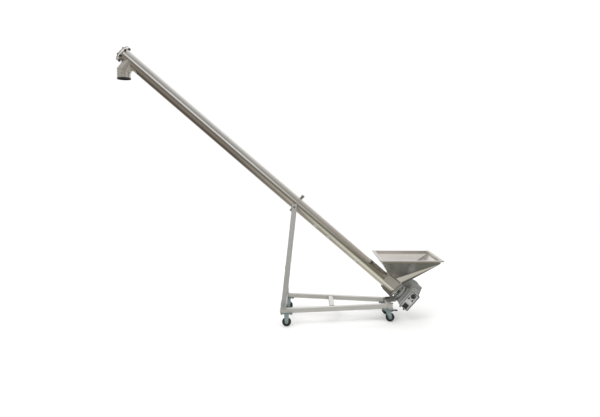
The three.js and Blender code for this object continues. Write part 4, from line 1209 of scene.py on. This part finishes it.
# ---------------------------------------------------------------- base, leg frame and clamp


def base_frame():
    dress("rail", "rail_near", "rail_far", bevel=0.0005)
    dress("cross", "wide_cross_tube", "middle_cross_tube", "narrow_cross_tube", "leg_tie", bevel=0.0005)
    dress("upright", "leg_near", "leg_far", "leg_socket_near", "leg_socket_far", bevel=0.0006)
    # The pivot bracket under the drive takes the darker bracket stainless: painted shade.
    dress("bracket", "pivot_bracket", bevel=0.0008)
    dress("zinc", "tilt_pin", "leg_pin_near", "leg_pin_far", bevel=0.0006)
    tube_caps()
    base_welds()


def tube_end(name, from_point, to_point, hint, suffix, body):
    """A pressed steel cap let into the open end of a square tube, flush but for its rim."""
    place = facing(to_point, to_point - from_point, hint)
    bm = bmesh.new()
    prism(bm, rounded(0.0355, 0.0355, 0.003, 4), -0.012, 0.0005, place)
    prism(bm, rounded(0.0396, 0.0396, 0.0045, 5), 0.0003, 0.0030, place)
    piece(f"{name}_cap_{suffix}", bm, "rail", 0.0010, body=body)


def bar_ends(node, axis):
    """Middles of a bar's two ends, rising along the axis, from the corners furthest apart on its length."""
    vertices = [v.co.copy() for v in frame["nodes"][node].data.vertices]
    centre = sum(vertices, Vector()) / len(vertices)
    way = (max(vertices, key=lambda v: (v - centre).length) - centre).normalized()
    for _ in range(4):
        along = [(v - centre).dot(way) for v in vertices]
        ahead = [v for v, d in zip(vertices, along) if d > 0.88 * max(along)]
        behind = [v for v, d in zip(vertices, along) if d < 0.88 * min(along)]
        a, b = sum(behind, Vector()) / len(behind), sum(ahead, Vector()) / len(ahead)
        way = (b - a).normalized()
    return sorted((a, b), key=lambda end: end[axis])


def tube_caps():
    for side in ("near", "far"):
        low, high = bar_ends(f"rail_{side}", 0)
        tube_end(f"rail_{side}", high, low, UP, "wide", "base")
        low, high = bar_ends(f"leg_{side}", 2)
        tube_end(f"leg_{side}", low, high, ACROSS, "top", "leg_frame")
    near, far = bar_ends("narrow_cross_tube", 1)
    tube_end("narrow_cross_tube", far, near, UP, "near", "base")
    tube_end("narrow_cross_tube", near, far, UP, "far", "base")


def end_weld(end, other, radius=0.0021, push=0.0):
    """The weld round one end of a square tube, in the form that beads takes."""
    way = (end - other).normalized()
    place = facing(end + way * push, way)
    corners = ((-1, -0.8), (-0.8, -1), (0.8, -1), (1, -0.8), (1, 0.8), (0.8, 1), (-0.8, 1), (-1, 0.8))
    return [place @ Vector((0, y * 0.0205, z * 0.0205)) for y, z in corners], radius, True


def base_welds():
    welds = []
    for node in ("wide_cross_tube", "middle_cross_tube"):
        a, b = bar_ends(node, 1)
        welds += [end_weld(a, b, push=0.001), end_weld(b, a, push=0.001)]
    for side in ("near", "far"):
        low, high = bar_ends(f"rail_{side}", 0)
        welds.append(end_weld(high, low))
        lo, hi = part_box(f"leg_socket_{side}")
        welds += [([Vector((x, y, lo.z)) for y in (lo.y + 0.004, hi.y - 0.004)], 0.0020) for x in (lo.x, hi.x)]
    lo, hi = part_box("pivot_bracket")
    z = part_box("narrow_cross_tube")[1].z + 0.0005
    welds += [([Vector((lo.x + dx, y, z)) for dx in (0.002, 0.038)], 0.0018)
              for y in (lo.y + 0.006, hi.y - 0.006)]
    beads("base_welds", *welds, body="base")
    a, b = bar_ends("leg_tie", 1)
    beads("leg_tie_welds", end_weld(a, b, 0.0020), end_weld(b, a, 0.0020), body="leg_frame")

    bm = bmesh.new()
    for side in ("near", "far"):
        pin = middle(f"leg_pin_{side}")
        lo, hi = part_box(f"leg_socket_{side}")
        for y0, y1 in ((lo.y + 0.0055, pin.y - 0.0215), (pin.y + 0.0215, hi.y - 0.0055)):
            lathe(bm, sleeve(0, y1 - y0, 0.0064, 0.0105), facing((pin.x, y0, pin.z), ACROSS), 24)
    piece("leg_foot_spacers", bm, "bolt", body="base")


def half_band(bm, place, at, reach, inner, outer, half_width):
    """A strip round local X that reaches the same number of degrees each way from at."""
    prism(bm, arc(0, 0, outer, at - reach, at + reach, 40) + arc(0, 0, inner, at + reach, at - reach, 40),
          -half_width, half_width, place)


def clamp():
    """Two half bands with ears, a rubber lining, pins for the legs and a bar-handled bolt."""
    mid = TUBE @ shift(CLAMP_T)
    reach = 90 - math.degrees(math.asin(0.002 / HOOP_R))
    seat = HOOP_R + 0.0045
    for side, sign, at in (("near", -1, 180), ("far", 1, 0)):
        bm = bmesh.new()
        half_band(bm, mid, at, reach, HOOP_R + 0.0007, HOOP_R + 0.005, 0.012)
        y0, y1 = sorted((sign * 0.002, sign * 0.008))
        for n0, n1 in ((HOOP_R + 0.0012, HOOP_R + 0.034), (-HOOP_R - 0.026, -HOOP_R - 0.0012)):
            box(bm, (-0.012, y0, n0), (0.012, y1, n1), mid)
        across = mid @ shift(0, 0, CLAMP_PIN_N) @ facing((0, 0, 0), (0, sign, 0))
        lathe(bm, [(HOOP_R + 0.0004, 0), (HOOP_R + 0.0004, 0.014), (HOOP_R + 0.003, 0.014),
                   (HOOP_R + 0.004, 0.013), (HOOP_R + 0.004, 0)], across, 40)
        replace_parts(piece(f"clamp_band_{side}", bm, "sloped", 0.0007, 30, body="tube_clamp"),
                    f"clamp_half_{side}")
        bm = bmesh.new()
        rod(bm, seat, 0.121, 0.006, across, 32, 0.001)
        hex_head(bm, across @ shift(0.1135), 0.018, 0.007)
        lathe(bm, sleeve(seat, 0.0700, 0.0062, 0.011), across, 32)
        piece(f"clamp_pin_{side}", bm, "bolt", body="tube_clamp")
        bm = bmesh.new()
        half_band(bm, mid, at, 86, HOOP_R - 0.0002, HOOP_R + 0.0008, 0.0125)
        piece(f"clamp_lining_{side}", bm, "rubber", body="tube_clamp")

    bm = bmesh.new()
    cross = mid @ shift(0, 0, HOOP_R + 0.022) @ turn(90, "Z")
    rod(bm, -0.020, 0.026, 0.0050, cross, 28, 0.0008)
    hex_head(bm, cross @ shift(0.0083), 0.017, 0.0080)
    rod(bm, -0.0105, -0.0083, 0.0095, cross, 28)
    rod(bm, -0.026, -0.0105, 0.0085, cross, 32, 0.0015)
    lower = mid @ shift(0, 0, -HOOP_R - 0.015) @ turn(90, "Z")
    rod(bm, -0.016, 0.018, 0.004, lower, 24, 0.0006)
    hex_head(bm, lower @ shift(0.0083), 0.013, 0.0065)
    hex_head(bm, lower @ shift(-0.0083) @ turn(180, "Z"), 0.013, 0.0055)
    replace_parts(piece("clamp_cross_bolts", bm, "bolt", body="tube_clamp"), "clamp_bolt")
    bm = bmesh.new()
    grip = cross @ shift(-0.0185)
    sweep(bm, [grip @ Vector((0, y, 0)) for y in (-0.016, 0.016)], lambda share: 0.0032, 16)
    piece("clamp_bolt_bar", bm, "zinc", 0.0008, body="tube_clamp")


# ---------------------------------------------------------------- casters


def wheel(kind, side):
    node = f"{kind}_tyre_{side}"
    body = f"{kind}_wheel_{side}"
    place = facing(middle(node), ACROSS)
    h, r = 0.013, WHEEL_R
    tread = [(h - 0.001, 0.0282), (h, 0.0300), (h, r - 0.0060), (h - 0.0010, r - 0.0035),
             (h - 0.0030, r - 0.0016), (h - 0.0065, r - 0.0003)]
    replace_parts(turned(node + "_rubber", mirrored(tread, [(0, r)]), "rubber", place, body=body), node)

    node = f"{kind}_hub_{side}"
    hub = [(h - 0.0012, 0.0281), (h - 0.0012, 0.0262), (h - 0.0030, 0.0250), (0.0042, 0.0240), (0.0036, 0.0140),
           (h - 0.0020, 0.0122), (h + 0.0016, 0.0112), (h + 0.0020, 0.0100), (h + 0.0020, 0.0053)]
    bm = bmesh.new()
    lathe(bm, mirrored(hub), place, 72)
    for i in range(6):
        for a, b in ((-0.0100, -0.0035), (0.0035, 0.0100)):
            box(bm, (a, -0.0016, 0.0125), (b, 0.0016, 0.0248), place @ turn(60 * i, "X"))
    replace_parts(piece(node + "_moulding", bm, "hub", 0.0004, body=body), node)


def mirrored(half, between=()):
    """A whole profile from its half on the far side, with any points between the two halves."""
    return [(-x, r) for x, r in half] + list(between) + half[::-1]


def fork(axle, crown_z, trail, width):
    """The two pressed cheeks of a fork, whose rounded feet sit the trail behind their tops."""
    top = crown_z - WHEEL_R
    outline = arc(0, 0, 0.0145, 195, 345, 14) + [(width / 2, top), (-width / 2, top)]
    leaned = [(-(x - trail * (z / top) if z > 0 else x), z) for x, z in outline]
    bm = bmesh.new()
    for a, b in ((-FORK_OUTER, -FORK_INNER), (FORK_INNER, FORK_OUTER)):
        prism(bm, leaned, a, b, facing(axle, ACROSS))
    return bm


def plate_bolts(name, x, y, dx, dy, top, bm):
    for sx, sy in itertools.product((-1, 1), repeat=2):
        spot = x + sx * dx, y + sy * dy
        place = facing((*spot, top), UP, (1, 0, 0))
        hex_head(bm, facing((*spot, top - 0.0040), -UP, (1, 0, 0)), 0.0125, 0.0055)
        rod(bm, -0.001, 0.0012, 0.0080, place, 24)
        hex_head(bm, place @ shift(0.0012), 0.0125, 0.0060)
        rod(bm, 0.004, 0.0105, 0.0036, place, 16, 0.0006)
    piece(name, bm, "bolt", body="base")


def axle_bolt(bm, axle):
    place = facing(axle, ACROSS)
    rod(bm, -FORK_OUTER, FORK_OUTER + 0.004, 0.0048, place, 24, 0.0006)
    hex_head(bm, place @ shift(FORK_OUTER), 0.013, 0.006)
    hex_head(bm, place @ shift(-FORK_OUTER) @ turn(180, "Z"), 0.013, 0.0055)


def fixed_caster(side):
    node = f"fixed_fork_{side}"
    lo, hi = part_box(node)
    axle = middle(f"fixed_tyre_{side}")
    bm = fork(axle, hi.z - 0.0045, 0.0, 0.042)
    box(bm, (lo.x, lo.y, hi.z - 0.0035), (hi.x, hi.y, hi.z))
    box(bm, (axle.x - 0.021, axle.y - FORK_OUTER, hi.z - 0.0095),
        (axle.x + 0.021, axle.y + FORK_OUTER, hi.z - 0.0030))
    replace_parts(piece(f"fixed_caster_frame_{side}", bm, "zinc", 0.0009, 30, body="base"), node)
    bm = bmesh.new()
    axle_bolt(bm, axle)
    plate_bolts(f"fixed_caster_bolts_{side}", axle.x, axle.y, 0.040, 0.0285, hi.z + 0.0002, bm)
    wheel("fixed", side)


def swivel_caster(side):
    plate_node, fork_node, body = f"swivel_plate_{side}", f"swivel_fork_{side}", f"swivel_{side}"
    lo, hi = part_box(plate_node)
    pivot = joint_place(f"swivel_turn_{side}")
    axle = middle(f"swivel_tyre_{side}")
    upright = facing((pivot.x, pivot.y, 0), UP, (1, 0, 0))
    bm = bmesh.new()
    box(bm, (lo.x, lo.y, hi.z - 0.0035), (hi.x, hi.y, hi.z))
    lathe(bm, [(lo.z + 0.0004, 0), (lo.z + 0.0004, 0.0205), (lo.z + 0.0020, 0.0248), (lo.z + 0.0060, 0.0250),
               (hi.z - 0.0045, 0.0225), (hi.z - 0.0030, 0.0225), (hi.z - 0.0030, 0)], upright, 64)
    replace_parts(piece(f"swivel_top_plate_{side}", bm, "zinc", 0.0008, 30, body="base"), plate_node)

    crown_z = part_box(fork_node)[1].z
    bm = fork(axle, crown_z, axle.x - pivot.x - 0.004, 0.046)
    lathe(bm, [(crown_z - 0.0065, 0), (crown_z - 0.0065, 0.0250), (crown_z - 0.0050, 0.0268), (crown_z, 0.0268),
               (crown_z, 0)], upright, 64)
    reach = FORK_INNER + 0.0026
    box(bm, (pivot.x - 0.012, axle.y - reach, crown_z - 0.0065),
        (pivot.x + 0.024, axle.y + reach, crown_z - 0.001))
    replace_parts(piece(f"swivel_caster_fork_{side}", bm, "zinc", 0.0009, 30, body=body), fork_node)
    bm = bmesh.new()
    axle_bolt(bm, axle)
    hinge = facing(joint_place(f"brake_press_{side}"), ACROSS)
    rod(bm, -FORK_INNER - 0.003, FORK_INNER + 0.003, 0.0030, hinge, 20, 0.0005)
    piece(f"swivel_caster_bolts_{side}", bm, "bolt", body=body)
    plate_bolts(f"swivel_plate_bolts_{side}", pivot.x, pivot.y, 0.039, 0.0240, hi.z + 0.0002, bmesh.new())
    wheel("swivel", side)
    pedal(side, hinge)


def pedal(side, place):
    """Brake lever: pressed arm that curves up to a ribbed foot pad, drawn towards local -Y."""
    upper = [(-0.006, 0.0040), (0.009, 0.0042), (0.022, 0.0072), (0.036, 0.0095), (0.060, 0.0098)]
    lower = [(0.060, 0.0062), (0.036, 0.0056), (0.024, 0.0020), (0.012, -0.0030), (-0.002, -0.0050),
             (-0.006, -0.0042)]
    bm = bmesh.new()
    prism(bm, [(-x, z) for x, z in upper + lower], -0.012, 0.012, place)
    for k in range(6):
        x = -0.041 - 0.0036 * k
        prism(bm, [(x + 0.001, 0.0105), (x - 0.001, 0.0105), (x - 0.0008, 0.0118), (x + 0.0008, 0.0118)],
              -0.0155, 0.0155, place)
    prism(bm, [(-0.038, 0.0052), (-0.0625, 0.0052), (-0.0630, 0.0108), (-0.038, 0.0108)],
          -0.0168, 0.0168, place)
    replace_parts(piece(f"brake_lever_{side}", bm, "black", 0.0007, 30, body=f"pedal_{side}"),
                f"brake_pedal_{side}")


# ---------------------------------------------------------------- the scene

camera()
studio()
conveyor_tube()
head_end()
discharge_spout()
hopper()
inlet_housing()
tail_end()
auger()
gearbox()
worm_gear()
motor()
terminal_box()
control_box()
base_frame()
clamp()
for where in ("near", "far"):
    fixed_caster(where)
    swivel_caster(where)

scene.view_settings.view_transform = "Standard"
